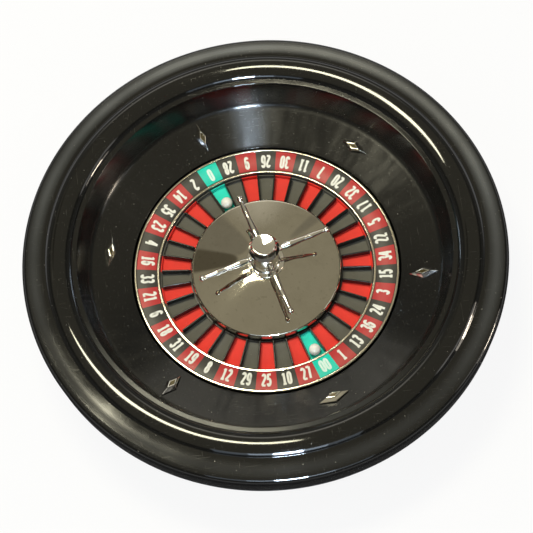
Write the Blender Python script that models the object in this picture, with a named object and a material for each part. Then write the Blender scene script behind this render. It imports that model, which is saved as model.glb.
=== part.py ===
"""A double-zero roulette wheel, about 508 mm across: a moulded bowl on rubber feet, and a rotor on two ball bearings.

Metres, +Z up. The origin is on the spindle's axis, on the surface that the feet stand on. Profiles are lists of
(radius, height) round that axis, and the rotor's pieces hang under an empty that is turned to pocket 0.
"""

import math

import bmesh
import bpy
from mathutils import Matrix, Vector

# Clearances. Solids that touch in the real wheel keep SEAT_GAP between them.
SEAT_GAP = 0.0003
OVERRUN = 0.002
WELD = 0.000001

# Rotor: its outer radius, its rim's rise over the well's floor, and the printed ring between two bright trims
ROTOR_RADIUS = 0.1423
ROTOR_RISE = 0.0240
TRIM_WIDTH = 0.0027
TRIM_DEPTH = 0.0026
NUMBER_RING_WIDTH = 0.0216
NUMBER_RING_THICKNESS = 0.0012
NUMBER_RING_OUTER_DROP = 0.0011
NUMBER_RING_FALL = 0.0031
RING_SEAT_THICKNESS = 0.003

# Pockets and their separators
POCKET_COUNT = 38
POCKET_DEPTH = 0.0140
POCKET_SETBACK = 0.0018
POCKET_LENGTH = 0.0328
POCKET_FLOOR_THICKNESS = 0.0012
POCKET_LIP_HEIGHT = 0.0050
POCKET_LIP_THICKNESS = 0.0012
PAN_WALL_THICKNESS = 0.0034
PAN_FLOOR_THICKNESS = 0.0030
FRET_THICKNESS = 0.0016
FRET_HEIGHT = 0.0078
FRET_CHAMFER = 0.0018
FRET_HOOP_THICKNESS = 0.0012
FRET_HOOP_HEIGHT = 0.0026

# Bright dish over the middle of the rotor
DISH_THICKNESS = 0.0010
DISH_SHOULDER_RADIUS = 0.0070
DISH_SHOULDER_HEIGHT = 0.0097
DISH_FLAT_RADIUS = 0.0170

# Turret: a turned column with four arms, and a cap with a shallow hollow top over a flared collar
COLUMN_RADIUS = 0.0146
COLUMN_HEIGHT = 0.0310
COLUMN_EDGE = 0.0007
COLUMN_FLANGE_WIDTH = 0.0057
COLUMN_FLANGE_HEIGHT = 0.0016
COLUMN_FILLET = 0.0018
COLUMN_SHANK_RADIUS = 0.0040
TURRET_NUT_RADIUS = 0.0075
TURRET_NUT_HEIGHT = 0.0030
TURRET_HEADROOM = 0.0006
CAP_COLLAR_OVERHANG = 0.0016
CAP_COLLAR_HEIGHT = 0.0014
CAP_FLARE_SETBACK = 0.0024
CAP_FLARE_HEIGHT = 0.0030
CAP_NECK_SETBACK = 0.0048
CAP_NECK_HEIGHT = 0.0075
CAP_EDGE_SETBACK = 0.0037
CAP_EDGE_ROUND = 0.0011
CAP_SLOPE = 6.0
CAP_PEG_RADIUS = 0.0035
CAP_PEG_LENGTH = 0.0050
ARM_HEIGHT = 0.0183
ARM_SETBACK = 0.0070
ARM_STUB_RADIUS = 0.0019
ARM_STUB_LENGTH = 0.0055
ARM_COLLAR_RADIUS = 0.0036
ARM_NECK_RADIUS = 0.0028
ARM_BULGE_RADIUS = 0.0040
ARM_WAIST_RADIUS = 0.0027
ARM_SECOND_BULGE_RADIUS = 0.0031
ARM_TIP_NECK_RADIUS = 0.0021
ARM_TIP_RADIUS = 0.0034
ARM_COUNT = 4

# Bowl, from the rotor outwards
ROTOR_GAP = 0.0022
WALL = 0.0035
WELL_FLOOR_HEIGHT = 0.0260
APRON_DROP = 0.0009
APRON_RUN = 0.0434
APRON_SLOPE = 25.0
TRACK_ROUND = 0.0100
TRACK_WALL_HEIGHT = 0.0322
TRACK_WALL_SLOPE = 76.0
LIP_ROUND = 0.0018
LEDGE_WIDTH = 0.0050
BEAD_RADIUS = 0.0170
BEAD_INNER_ANGLE = 60.0
BEAD_OUTER_ANGLE = 40.0
FLANK_WIDTH = 0.0050
FLANK_FALL = 0.0019
SHOULDER_WIDTH = 0.0144
SHOULDER_FALL = 0.0019
EDGE_ROUND = 0.0080
BAND_HEIGHT = 0.0190
BAND_TAPER = 0.0012

# Lower moulding and what joins it to the bowl
BASE_WALL = 0.0030
BASE_FLOOR_HEIGHT = 0.0046
BASE_FLOOR_SETBACK = 0.0820
BASE_LIP_HEIGHT = 0.0030
BASE_KNEE_WIDTH = 0.0140
BASE_KNEE_HEIGHT = 0.0120
SERVICE_HOLE_RADIUS = 0.0220
SCREW_COUNT = 6
SCREW_SETBACK = 0.0265
SCREW_HEAD_RADIUS = 0.0036
SCREW_HEAD_HEIGHT = 0.0018
SCREW_SHANK_RADIUS = 0.0015
SCREW_SHANK_LENGTH = 0.0120
BOSS_RADIUS = 0.0048
FOOT_COUNT = 4
FOOT_SETBACK = 0.0220
FOOT_RADIUS = 0.0100
FOOT_FACE_RADIUS = 0.0088
FOOT_PEG_RADIUS = 0.0030
FOOT_BUTTON_RADIUS = 0.0042

# Spindle and its two ball bearings, 8 by 22 by 7 mm each
SPINDLE_FLANGE_RADIUS = 0.0140
SPINDLE_FLANGE_THICKNESS = 0.0027
SPINDLE_SHOULDER_RADIUS = 0.0058
SPINDLE_SHOULDER_HEIGHT = 0.0020
SPINDLE_TAIL_RADIUS = 0.0039
SPINDLE_TAIL_LENGTH = 0.0130
SPINDLE_TOP_LENGTH = 0.0012
WASHER_RADIUS = 0.0095
WASHER_THICKNESS = 0.0016
NUT_RADIUS = 0.0075
NUT_HEIGHT = 0.0050
CLIP_RADIUS = 0.0062
CLIP_THICKNESS = 0.0010
CLIP_GROOVE_DEPTH = 0.0006
BEARING_BORE_RADIUS = 0.0040
BEARING_OUTER_RADIUS = 0.0110
BEARING_WIDTH = 0.0070
BEARING_RING_THICKNESS = 0.0019
BEARING_GROOVE_DEPTH = 0.0003
BEARING_BALL_COUNT = 7
BEARING_SPACING = 0.0144
CAGE_THICKNESS = 0.0011
CAGE_WIDTH = 0.0036
HUB_WALL = 0.0045
HUB_STEP = 0.0015
HUB_ROOF_THICKNESS = 0.0030

# Bright diamonds on the apron
DEFLECTOR_COUNT = 6
DEFLECTOR_INNER_MARGIN = 0.0083
DEFLECTOR_OUTER_MARGIN = 0.0043
DEFLECTOR_WIDTH = 0.0128
DEFLECTOR_EDGE = 0.0006
DEFLECTOR_HEIGHT = 0.0046
DEFLECTOR_TOP_LENGTH = 0.0150
DEFLECTOR_TOP_WIDTH = 0.0058
DEFLECTOR_LIFT = 0.0009

# Loose balls, which fill a pocket's width but for this gap on each side
BALL_SIDE_GAP = 0.00043
BALL_A_STANDOFF = 0.0024
BALL_B_STANDOFF = 0.0002

# Where the turning pieces stand in the photograph, in degrees from +X
POCKET_ZERO_AZIMUTH = 112.34
ARM_LEAD = 83.76
FIRST_DEFLECTOR_AZIMUTH = -11.55

# Screws and feet stand at the middle of the bowl's facets, so that their holes cross no edge between two
FIRST_SCREW_AZIMUTH = 3.75
FIRST_FOOT_AZIMUTH = 48.75

# Facets round each piece
BOWL_FACETS = 48
PAN_FACETS = 40
POCKET_FACETS = POCKET_COUNT
DISH_FACETS = 40
TURRET_FACETS = 18
ARM_FACETS = 8
SMALL_FACETS = 16
HOLE_FACETS = 8
HEX_FACETS = 6
SMOOTH_BELOW = 35.0


def clear_scene():
    for obj in list(bpy.data.objects):
        bpy.data.objects.remove(obj, do_unlink=True)


def finish(name, colour, roughness, metallic=0.0):
    """A Principled material, kept by name so that pieces can share it."""
    material = bpy.data.materials.get(name)
    if material is None:
        material = bpy.data.materials.new(name)
        material.use_nodes = True
        shader = material.node_tree.nodes["Principled BSDF"]
        shader.inputs["Base Color"].default_value = (*colour, 1.0)
        shader.inputs["Roughness"].default_value = roughness
        shader.inputs["Metallic"].default_value = metallic
        material.diffuse_color = (*colour, 1.0)
    return material


def black_plastic():
    return finish("black_plastic", (0.012, 0.012, 0.013), 0.12)


def dull_plastic():
    return finish("dull_plastic", (0.03, 0.03, 0.032), 0.45)


def chrome():
    return finish("chrome", (0.78, 0.76, 0.72), 0.08, 1.0)


def steel():
    return finish("steel", (0.55, 0.55, 0.56), 0.3, 1.0)


def rubber():
    return finish("rubber", (0.02, 0.02, 0.02), 0.8)


def facet_radius(radius, facets):
    """Radius of a faceted hole or ring whose facets stay outside a round one of this radius."""
    return radius / math.cos(math.pi / facets)


def arc(centre, radius, start, end, steps):
    """Points of an arc as (radius from the axis, height). Angles are in degrees from the outward direction."""
    points = []
    for step in range(steps + 1):
        angle = math.radians(start + (end - start) * step / steps)
        points.append((centre[0] + radius * math.cos(angle), centre[1] + radius * math.sin(angle)))
    return points


def inset_path(path, wall):
    """The path moved sideways by the wall, to the left of its direction of travel, with mitred corners."""
    moved = []
    for index, point in enumerate(path):
        here = Vector(point)
        before = here - Vector(path[index - 1]) if index else None
        after = Vector(path[index + 1]) - here if index + 1 < len(path) else None
        before = (before or after).normalized()
        after = (after or before).normalized()
        side_before = Vector((-before.y, before.x))
        side_after = Vector((-after.y, after.x))
        mitre = (side_before + side_after).normalized()
        place = here + mitre * (wall / mitre.dot(side_before))
        moved.append((place.x, place.y))
    return moved


def new_object(name, mesh_data, material, parent=None):
    """An object from a bmesh, with its normals outwards and its round faces shaded smooth."""
    bmesh.ops.remove_doubles(mesh_data, verts=mesh_data.verts, dist=WELD)
    bmesh.ops.recalc_face_normals(mesh_data, faces=mesh_data.faces)
    mesh = bpy.data.meshes.new(name)
    mesh_data.to_mesh(mesh)
    mesh_data.free()
    mesh.shade_smooth()
    mesh.set_sharp_from_angle(angle=math.radians(SMOOTH_BELOW))
    mesh.materials.append(material)
    obj = bpy.data.objects.new(name, mesh)
    bpy.context.scene.collection.objects.link(obj)
    obj.parent = parent
    return obj


def spin_profile(mesh_data, profile, facets, place=None):
    """Turns a profile of (radius, height) round +Z into a closed skin, and moves it by the matrix place."""
    on_axis = [abs(radius) < WELD for radius, _ in profile]
    loose = mesh_data.verts[:]
    verts = [mesh_data.verts.new((radius, 0.0, height)) for radius, height in profile]
    edges = []
    for index, vert in enumerate(verts):
        following = (index + 1) % len(verts)
        if on_axis[index] and on_axis[following]:
            continue
        edges.append(mesh_data.edges.new((vert, verts[following])))
    bmesh.ops.spin(
        mesh_data,
        geom=verts + edges,
        cent=(0.0, 0.0, 0.0),
        axis=(0.0, 0.0, 1.0),
        angle=math.tau,
        steps=facets,
        use_merge=True,
    )
    made = [vert for vert in mesh_data.verts if vert not in set(loose)]
    if place is not None:
        bmesh.ops.transform(mesh_data, matrix=place, verts=made)


def turned(name, profile, facets, material, parent=None):
    """A piece turned on a lathe, from its closed profile."""
    mesh_data = bmesh.new()
    spin_profile(mesh_data, profile, facets)
    return new_object(name, mesh_data, material, parent)


def rod_profile(radius, bottom, top):
    return [(0.0, bottom), (radius, bottom), (radius, top), (0.0, top)]


def tube_profile(inner, outer, bottom, top):
    return [(inner, bottom), (outer, bottom), (outer, top), (inner, top)]


def around(count, start=0.0):
    """The azimuths of a pattern round the axis, in degrees."""
    return [start + 360.0 * index / count for index in range(count)]


def at_azimuth(azimuth, radius, height=0.0):
    """A matrix that carries a piece out along an azimuth, with its +X pointing away from the axis."""
    return Matrix.Rotation(math.radians(azimuth), 4, "Z") @ Matrix.Translation((radius, 0.0, height))


def rods(name, radius, bottom, top, places, facets=SMALL_FACETS):
    """Several upright rods in one mesh: a cutter, or bosses to be joined to a piece."""
    mesh_data = bmesh.new()
    for place in places:
        spin_profile(mesh_data, rod_profile(radius, bottom, top), facets, place)
    return helper(name, mesh_data)


def helper(name, mesh_data):
    """A mesh that only cuts or joins: it is hidden, so that it isn't a piece of the wheel."""
    obj = new_object(name, mesh_data, dull_plastic())
    obj.hide_render = True
    obj.display_type = "WIRE"
    return obj


def combine(obj, other, operation):
    modifier = obj.modifiers.new(other.name, "BOOLEAN")
    modifier.operation = operation
    modifier.solver = "EXACT"
    modifier.object = other


def drill(obj, name, rod_radius, bottom, top, places=(Matrix.Identity(4),), facets=HOLE_FACETS):
    """Round holes that a rod of this radius clears by SEAT_GAP, even at the middle of their facets."""
    cutter = rods(name, facet_radius(rod_radius + SEAT_GAP, facets), bottom, top, places, facets)
    cutter.parent = obj.parent
    combine(obj, cutter, "DIFFERENCE")


# Heights and radii that pieces share, worked out from the sizes above
def rotor_rim_height():
    return WELL_FLOOR_HEIGHT + ROTOR_RISE


def number_ring_inner_radius():
    return ROTOR_RADIUS - TRIM_WIDTH - NUMBER_RING_WIDTH


def number_ring_top(radius):
    """Height of the printed ring's face, which falls evenly towards the axis."""
    share = (ROTOR_RADIUS - TRIM_WIDTH - radius) / NUMBER_RING_WIDTH
    return rotor_rim_height() - NUMBER_RING_OUTER_DROP - NUMBER_RING_FALL * share


def pocket_floor_height():
    return rotor_rim_height() - POCKET_DEPTH


def pocket_outer_radius():
    """Inner face of the low wall at the pockets' outer end."""
    return number_ring_inner_radius() - TRIM_WIDTH - POCKET_SETBACK


def dish_radius():
    return pocket_outer_radius() - POCKET_LENGTH


def pan_floor_height():
    """Top of the pan's floor, under the coloured ring."""
    return pocket_floor_height() - POCKET_FLOOR_THICKNESS - SEAT_GAP


def pan_wall_radius():
    """Inner face of the pan's wall, outside the coloured lip."""
    return facet_radius(pocket_outer_radius() + POCKET_LIP_THICKNESS + SEAT_GAP, PAN_FACETS)


def fret_hoop_inner_radius():
    return facet_radius(dish_radius() + SEAT_GAP, POCKET_FACETS)


def fret_end_radius():
    """Outer ends of the separators, clear of the flats of the pockets' wall."""
    return pocket_outer_radius() * math.cos(math.pi / POCKET_FACETS) - SEAT_GAP


def well_radius():
    return ROTOR_RADIUS + ROTOR_GAP


def spindle_shoulder_top():
    return WELL_FLOOR_HEIGHT + SEAT_GAP + SPINDLE_FLANGE_THICKNESS + SPINDLE_SHOULDER_HEIGHT


def bearing_bottom(level):
    """Height of the lower face of the lower (0) or upper (1) bearing."""
    return spindle_shoulder_top() + SEAT_GAP + level * BEARING_SPACING


def hub_step_height():
    return bearing_bottom(1) + BEARING_WIDTH + SEAT_GAP


def clip_bottom():
    return bearing_bottom(1) + BEARING_WIDTH + SEAT_GAP


def spindle_groove_top():
    return clip_bottom() + CLIP_THICKNESS + SEAT_GAP


def turret_nut_bottom():
    """The turret's nut turns just over the end of the fixed spindle."""
    return spindle_groove_top() + SPINDLE_TOP_LENGTH + TURRET_HEADROOM


def hub_roof_top():
    return turret_nut_bottom() + TURRET_NUT_HEIGHT + SEAT_GAP + HUB_ROOF_THICKNESS


def dish_top_height():
    return hub_roof_top() + SEAT_GAP + DISH_THICKNESS


def dish_edge_foot():
    """Lower edge of the dish, on the pan's floor."""
    return pan_floor_height() + SEAT_GAP


def dish_slope(shoulder):
    """Degrees from level of the cone that runs from the flat middle to just touch the round shoulder."""
    run = shoulder[0] - DISH_FLAT_RADIUS
    rise = dish_top_height() - shoulder[1]
    tangent = math.acos(DISH_SHOULDER_RADIUS / math.hypot(run, rise))
    return math.degrees(tangent - math.atan2(run, rise))


def dish_path():
    """The dish's outer face, from its lower edge to its middle."""
    shoulder = (dish_radius() - DISH_SHOULDER_RADIUS, dish_edge_foot() + DISH_SHOULDER_HEIGHT)
    rounded = arc(shoulder, DISH_SHOULDER_RADIUS, 0.0, 90.0 - dish_slope(shoulder), 3)
    middle = dish_top_height()
    return (
        [(dish_radius(), dish_edge_foot())]
        + rounded
        + [(DISH_FLAT_RADIUS, middle), (COLUMN_SHANK_RADIUS + SEAT_GAP, middle)]
    )


def column_foot():
    return dish_top_height() + SEAT_GAP


def apron_height(radius):
    """Height of the bowl's sloping apron."""
    foot = rotor_rim_height() - APRON_DROP
    return foot + (radius - well_radius()) * math.tan(math.radians(APRON_SLOPE))


def track_corner():
    """Where the apron's slope would meet the track's wall without the round between them."""
    radius = well_radius() + APRON_RUN
    return (radius, apron_height(radius))


def lip():
    """The sharp corner at the top of the track's wall."""
    corner_radius, corner_height = track_corner()
    run = TRACK_WALL_HEIGHT / math.tan(math.radians(TRACK_WALL_SLOPE))
    return (corner_radius + run, corner_height + TRACK_WALL_HEIGHT)


def bead_centre():
    lip_radius, ledge_height = lip()
    inner = math.radians(BEAD_INNER_ANGLE)
    radius = lip_radius + LEDGE_WIDTH + BEAD_RADIUS * math.sin(inner)
    return (radius, ledge_height - BEAD_RADIUS * math.cos(inner))


def rim_shoulder():
    """The two ends of the flat shoulder outside the bead, as (radius, height), inner end first."""
    bead_radius, bead_height = bead_centre()
    outer = math.radians(BEAD_OUTER_ANGLE)
    radius = bead_radius + BEAD_RADIUS * math.sin(outer) + FLANK_WIDTH
    height = bead_height + BEAD_RADIUS * math.cos(outer) - FLANK_FALL
    return (radius, height), (radius + SHOULDER_WIDTH, height - SHOULDER_FALL)


def rim_radius():
    return rim_shoulder()[1][0] + EDGE_ROUND


def band_foot_height():
    return rim_shoulder()[1][1] - EDGE_ROUND - BAND_HEIGHT


def track_round_points():
    """The arc that joins the apron to the track's wall."""
    corner_radius, corner_height = track_corner()
    slope = math.radians(APRON_SLOPE)
    wall = math.radians(TRACK_WALL_SLOPE)
    reach = TRACK_ROUND * math.tan((wall - slope) / 2)
    start = (corner_radius - reach * math.cos(slope), corner_height - reach * math.sin(slope))
    centre = (start[0] - TRACK_ROUND * math.sin(slope), start[1] + TRACK_ROUND * math.cos(slope))
    return arc(centre, TRACK_ROUND, APRON_SLOPE - 90.0, TRACK_WALL_SLOPE - 90.0, 3)


def bowl_face():
    """The bowl's outer and upper face, from the foot of the rim's band to the hole in the well."""
    shoulder_inner, shoulder_outer = rim_shoulder()
    edge_centre = (shoulder_outer[0], shoulder_outer[1] - EDGE_ROUND)
    lip_radius, ledge_height = lip()
    bead = arc(bead_centre(), BEAD_RADIUS, 90.0 - BEAD_OUTER_ANGLE, 90.0 + BEAD_INNER_ANGLE, 5)
    wall_run = LIP_ROUND / math.tan(math.radians(TRACK_WALL_SLOPE))
    return (
        [(rim_radius() - BAND_TAPER, band_foot_height())]
        + arc(edge_centre, EDGE_ROUND, 0.0, 90.0, 3)
        + [shoulder_inner]
        + bead
        + [(lip_radius + LIP_ROUND, ledge_height), (lip_radius - wall_run, ledge_height - LIP_ROUND)]
        + track_round_points()[::-1]
        + [
            (well_radius(), apron_height(well_radius())),
            (well_radius(), WELL_FLOOR_HEIGHT),
            (SPINDLE_TAIL_RADIUS + SEAT_GAP, WELL_FLOOR_HEIGHT),
        ]
    )


def bowl_back():
    """The bowl's hidden face, a wall's thickness behind a plainer version of its upper face."""
    shoulder_inner, shoulder_outer = rim_shoulder()
    lip_radius, ledge_height = lip()
    bead_radius, bead_height = bead_centre()
    outer_corner = (rim_radius(), shoulder_outer[1] - EDGE_ROUND)
    coarse = [
        (rim_radius() - BAND_TAPER, band_foot_height()),
        outer_corner,
        shoulder_outer,
        shoulder_inner,
        (bead_radius, bead_height + BEAD_RADIUS),
        (lip_radius, ledge_height),
        track_corner(),
        (well_radius(), apron_height(well_radius())),
        (well_radius(), WELL_FLOOR_HEIGHT),
        (SPINDLE_TAIL_RADIUS + SEAT_GAP, WELL_FLOOR_HEIGHT),
    ]
    return inset_path(coarse, WALL)


def screw_places():
    radius = well_radius() - SCREW_SETBACK
    return [at_azimuth(azimuth, radius) for azimuth in around(SCREW_COUNT, FIRST_SCREW_AZIMUTH)]


def boss_foot():
    """Lower end of the bosses, on the base's floor."""
    return BASE_FLOOR_HEIGHT + BASE_WALL + SEAT_GAP


def make_bowl():
    profile = bowl_face() + bowl_back()[::-1]
    bowl = turned("bowl_shell", profile, BOWL_FACETS, black_plastic())
    boss_top = WELL_FLOOR_HEIGHT - WALL / 2
    bosses = rods("boss_shapes", BOSS_RADIUS, boss_foot(), boss_top, screw_places(), HEX_FACETS)
    combine(bowl, bosses, "UNION")
    pilot_top = screw_head_top() + SCREW_SHANK_LENGTH + SEAT_GAP
    drill(bowl, "pilot_holes", SCREW_SHANK_RADIUS, boss_foot() - OVERRUN, pilot_top, screw_places(), HEX_FACETS)


def screw_head_top():
    """Upper face of a screw's head, in the recess under the base's floor."""
    return BASE_FLOOR_HEIGHT + SCREW_HEAD_HEIGHT


def base_floor_radius():
    return rim_radius() - BASE_FLOOR_SETBACK


def base_profile():
    """The lower moulding: an open dish under the bowl, with a flat floor."""
    top = band_foot_height() - SEAT_GAP
    top_radius = rim_radius() - BAND_TAPER
    outer = [
        (SERVICE_HOLE_RADIUS, BASE_FLOOR_HEIGHT),
        (base_floor_radius(), BASE_FLOOR_HEIGHT),
        (base_floor_radius() + BASE_KNEE_WIDTH, BASE_KNEE_HEIGHT),
        (top_radius, top - BASE_LIP_HEIGHT),
        (top_radius, top),
    ]
    return outer + inset_path(outer, BASE_WALL)[::-1]


def foot_places():
    azimuths = around(FOOT_COUNT, FIRST_FOOT_AZIMUTH)
    radius = base_floor_radius() - FOOT_SETBACK
    return [at_azimuth(azimuth, radius) for azimuth in azimuths]


def make_base():
    base = turned("base_shell", base_profile(), BOWL_FACETS, dull_plastic())
    below = BASE_FLOOR_HEIGHT - OVERRUN
    above = BASE_FLOOR_HEIGHT + BASE_WALL + OVERRUN
    recess_top = screw_head_top() + SEAT_GAP
    drill(base, "screw_recesses", SCREW_HEAD_RADIUS, below, recess_top, screw_places())
    drill(base, "screw_holes", SCREW_SHANK_RADIUS, below, above, screw_places(), HEX_FACETS)
    drill(base, "foot_holes", FOOT_PEG_RADIUS, below, above, foot_places())


def make_screws():
    bottom = BASE_FLOOR_HEIGHT
    top = screw_head_top()
    profile = [
        (0.0, bottom),
        (SCREW_HEAD_RADIUS, bottom),
        (SCREW_HEAD_RADIUS, top),
        (SCREW_SHANK_RADIUS, top),
        (SCREW_SHANK_RADIUS, top + SCREW_SHANK_LENGTH),
        (0.0, top + SCREW_SHANK_LENGTH),
    ]
    for index, place in enumerate(screw_places(), 1):
        screw = turned(f"base_screw_{index}", profile, HEX_FACETS, steel())
        screw.matrix_world = place


def make_feet():
    """Rubber feet that push into the base's floor: a round pad, a peg, and a button that holds it."""
    seat = BASE_FLOOR_HEIGHT - SEAT_GAP
    inside = BASE_FLOOR_HEIGHT + BASE_WALL + SEAT_GAP
    profile = [
        (0.0, 0.0),
        (FOOT_FACE_RADIUS, 0.0),
        (FOOT_RADIUS, seat),
        (FOOT_PEG_RADIUS, seat),
        (FOOT_PEG_RADIUS, inside),
        (FOOT_BUTTON_RADIUS, inside),
        (0.0, inside + FOOT_BUTTON_RADIUS),
    ]
    for index, place in enumerate(foot_places(), 1):
        foot = turned(f"foot_{index}", profile, TURRET_FACETS // 2, rubber())
        foot.matrix_world = place


def make_spindle():
    """The fixed shaft: a threaded tail, a flange on the well's floor, a shoulder, and a journal with a groove."""
    flange = WELL_FLOOR_HEIGHT + SEAT_GAP
    flange_top = flange + SPINDLE_FLANGE_THICKNESS
    journal = BEARING_BORE_RADIUS - SEAT_GAP
    groove = journal - CLIP_GROOVE_DEPTH
    tail = flange - SPINDLE_TAIL_LENGTH
    groove_bottom = clip_bottom() - SEAT_GAP
    groove_top = spindle_groove_top()
    profile = [
        (0.0, tail),
        (SPINDLE_TAIL_RADIUS, tail),
        (SPINDLE_TAIL_RADIUS, flange),
        (SPINDLE_FLANGE_RADIUS, flange),
        (SPINDLE_FLANGE_RADIUS, flange_top),
        (SPINDLE_SHOULDER_RADIUS, flange_top),
        (SPINDLE_SHOULDER_RADIUS, spindle_shoulder_top()),
        (journal, spindle_shoulder_top()),
        (journal, groove_bottom),
        (groove, groove_bottom),
        (groove, groove_top),
        (journal, groove_top),
        (journal, groove_top + SPINDLE_TOP_LENGTH),
        (0.0, groove_top + SPINDLE_TOP_LENGTH),
    ]
    turned("spindle", profile, SMALL_FACETS, steel())
    clip = tube_profile(groove + SEAT_GAP, CLIP_RADIUS, clip_bottom(), clip_bottom() + CLIP_THICKNESS)
    turned("spindle_clip", clip, SMALL_FACETS, steel())
    washer_top = WELL_FLOOR_HEIGHT - WALL - SEAT_GAP
    washer_bottom = washer_top - WASHER_THICKNESS
    bore = SPINDLE_TAIL_RADIUS + SEAT_GAP
    turned("spindle_washer", tube_profile(bore, WASHER_RADIUS, washer_bottom, washer_top), SMALL_FACETS, steel())
    nut_top = washer_bottom - SEAT_GAP
    make_nut("spindle_nut", NUT_RADIUS, SPINDLE_TAIL_RADIUS, nut_top - NUT_HEIGHT, nut_top)


def make_nut(name, radius, thread_radius, bottom, top, parent=None):
    """A six-sided nut with a round bore."""
    nut = turned(name, rod_profile(radius, bottom, top), HEX_FACETS, steel(), parent)
    drill(nut, f"{name}_bore", thread_radius, bottom - OVERRUN, top + OVERRUN)


def race_radii():
    """Faces of the bearing's two rings that look at the balls, and the circle that the balls run on."""
    inner = BEARING_BORE_RADIUS + BEARING_RING_THICKNESS
    outer = BEARING_OUTER_RADIUS - BEARING_RING_THICKNESS
    return inner, outer, (inner + outer) / 2


def bearing_ball_radius():
    inner, outer, _ = race_radii()
    return (outer - inner) / 2 + BEARING_GROOVE_DEPTH


def make_bearing(level, word, rotor, cage_axis):
    bottom = bearing_bottom(level)
    top = bottom + BEARING_WIDTH
    middle = bottom + BEARING_WIDTH / 2
    inner_face, outer_face, ball_circle = race_radii()
    half = bearing_ball_radius()
    inner_ring = [
        (BEARING_BORE_RADIUS, bottom),
        (inner_face, bottom),
        (inner_face, middle - half),
        (ball_circle - half - SEAT_GAP, middle),
        (inner_face, middle + half),
        (inner_face, top),
        (BEARING_BORE_RADIUS, top),
    ]
    turned(f"bearing_inner_{word}", inner_ring, SMALL_FACETS, steel())
    outer_ring = [
        (outer_face, bottom),
        (BEARING_OUTER_RADIUS, bottom),
        (BEARING_OUTER_RADIUS, top),
        (outer_face, top),
        (outer_face, middle + half),
        (ball_circle + half + SEAT_GAP, middle),
        (outer_face, middle - half),
    ]
    turned(f"bearing_outer_{word}", outer_ring, SMALL_FACETS, steel(), rotor)
    hoop = tube_profile(
        ball_circle - CAGE_THICKNESS / 2,
        ball_circle + CAGE_THICKNESS / 2,
        middle - CAGE_WIDTH / 2,
        middle + CAGE_WIDTH / 2,
    )
    cage = turned(f"bearing_cage_{word}", hoop, BEARING_BALL_COUNT, steel(), cage_axis)
    balls = bmesh.new()
    for azimuth in around(BEARING_BALL_COUNT, 180.0 / BEARING_BALL_COUNT):
        place = at_azimuth(azimuth, ball_circle, middle)
        spin_profile(balls, arc((0.0, 0.0), half, -90.0, 90.0, 4), HEX_FACETS, place)
    ball_shapes = helper(f"bearing_balls_{word}", balls)
    combine(cage, ball_shapes, "UNION")


def make_bearing_spacers(rotor):
    bottom = bearing_bottom(0) + BEARING_WIDTH + SEAT_GAP
    top = bearing_bottom(1) - SEAT_GAP
    inner_face, outer_face, _ = race_radii()
    spacer = tube_profile(BEARING_BORE_RADIUS, inner_face, bottom, top)
    turned("bearing_spacer", spacer, SMALL_FACETS, steel())
    sleeve = tube_profile(outer_face, BEARING_OUTER_RADIUS, bottom, top)
    turned("hub_sleeve", sleeve, SMALL_FACETS, steel(), rotor)


def make_rotor_pan(rotor):
    """The moulded wheel: hub, floor under the pockets, wall, and the flange that carries the printed ring."""
    floor = pan_floor_height()
    under = floor - PAN_FLOOR_THICKNESS
    wall = pan_wall_radius()
    bore = BEARING_OUTER_RADIUS + SEAT_GAP
    hub = bore + HUB_WALL
    throat = bore - HUB_STEP
    roof_bottom = hub_roof_top() - HUB_ROOF_THICKNESS
    seat_drop = NUMBER_RING_THICKNESS + SEAT_GAP
    seat_outer_radius = ROTOR_RADIUS - TRIM_WIDTH
    seat_outer = number_ring_top(seat_outer_radius) - seat_drop
    trim_seat = rotor_rim_height() - TRIM_DEPTH - SEAT_GAP
    seat_inner = number_ring_top(wall) - seat_drop
    edge = ROTOR_RADIUS - SEAT_GAP
    profile = [
        (bore, bearing_bottom(0) - SEAT_GAP),
        (hub, bearing_bottom(0) - SEAT_GAP),
        (hub, under),
        (wall + PAN_WALL_THICKNESS, under),
        (wall + PAN_WALL_THICKNESS, seat_inner - RING_SEAT_THICKNESS),
        (edge, trim_seat - RING_SEAT_THICKNESS),
        (edge, trim_seat),
        (seat_outer_radius - SEAT_GAP, min(trim_seat, seat_outer)),
        (wall, seat_inner),
        (wall, floor),
        (hub, floor),
        (hub, hub_roof_top()),
        (COLUMN_SHANK_RADIUS + SEAT_GAP, hub_roof_top()),
        (COLUMN_SHANK_RADIUS + SEAT_GAP, roof_bottom),
        (throat, roof_bottom),
        (throat, hub_step_height()),
        (bore, hub_step_height()),
    ]
    turned("rotor_pan", profile, PAN_FACETS, dull_plastic(), rotor)


def make_number_ring(rotor):
    outer = ROTOR_RADIUS - TRIM_WIDTH - SEAT_GAP
    inner = number_ring_inner_radius() + SEAT_GAP
    profile = [
        (inner, number_ring_top(inner) - NUMBER_RING_THICKNESS),
        (outer, number_ring_top(outer) - NUMBER_RING_THICKNESS),
        (outer, number_ring_top(outer)),
        (inner, number_ring_top(inner)),
    ]
    turned("number_ring", profile, PAN_FACETS, finish("printed_ring", (0.55, 0.03, 0.03), 0.35), rotor)


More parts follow.
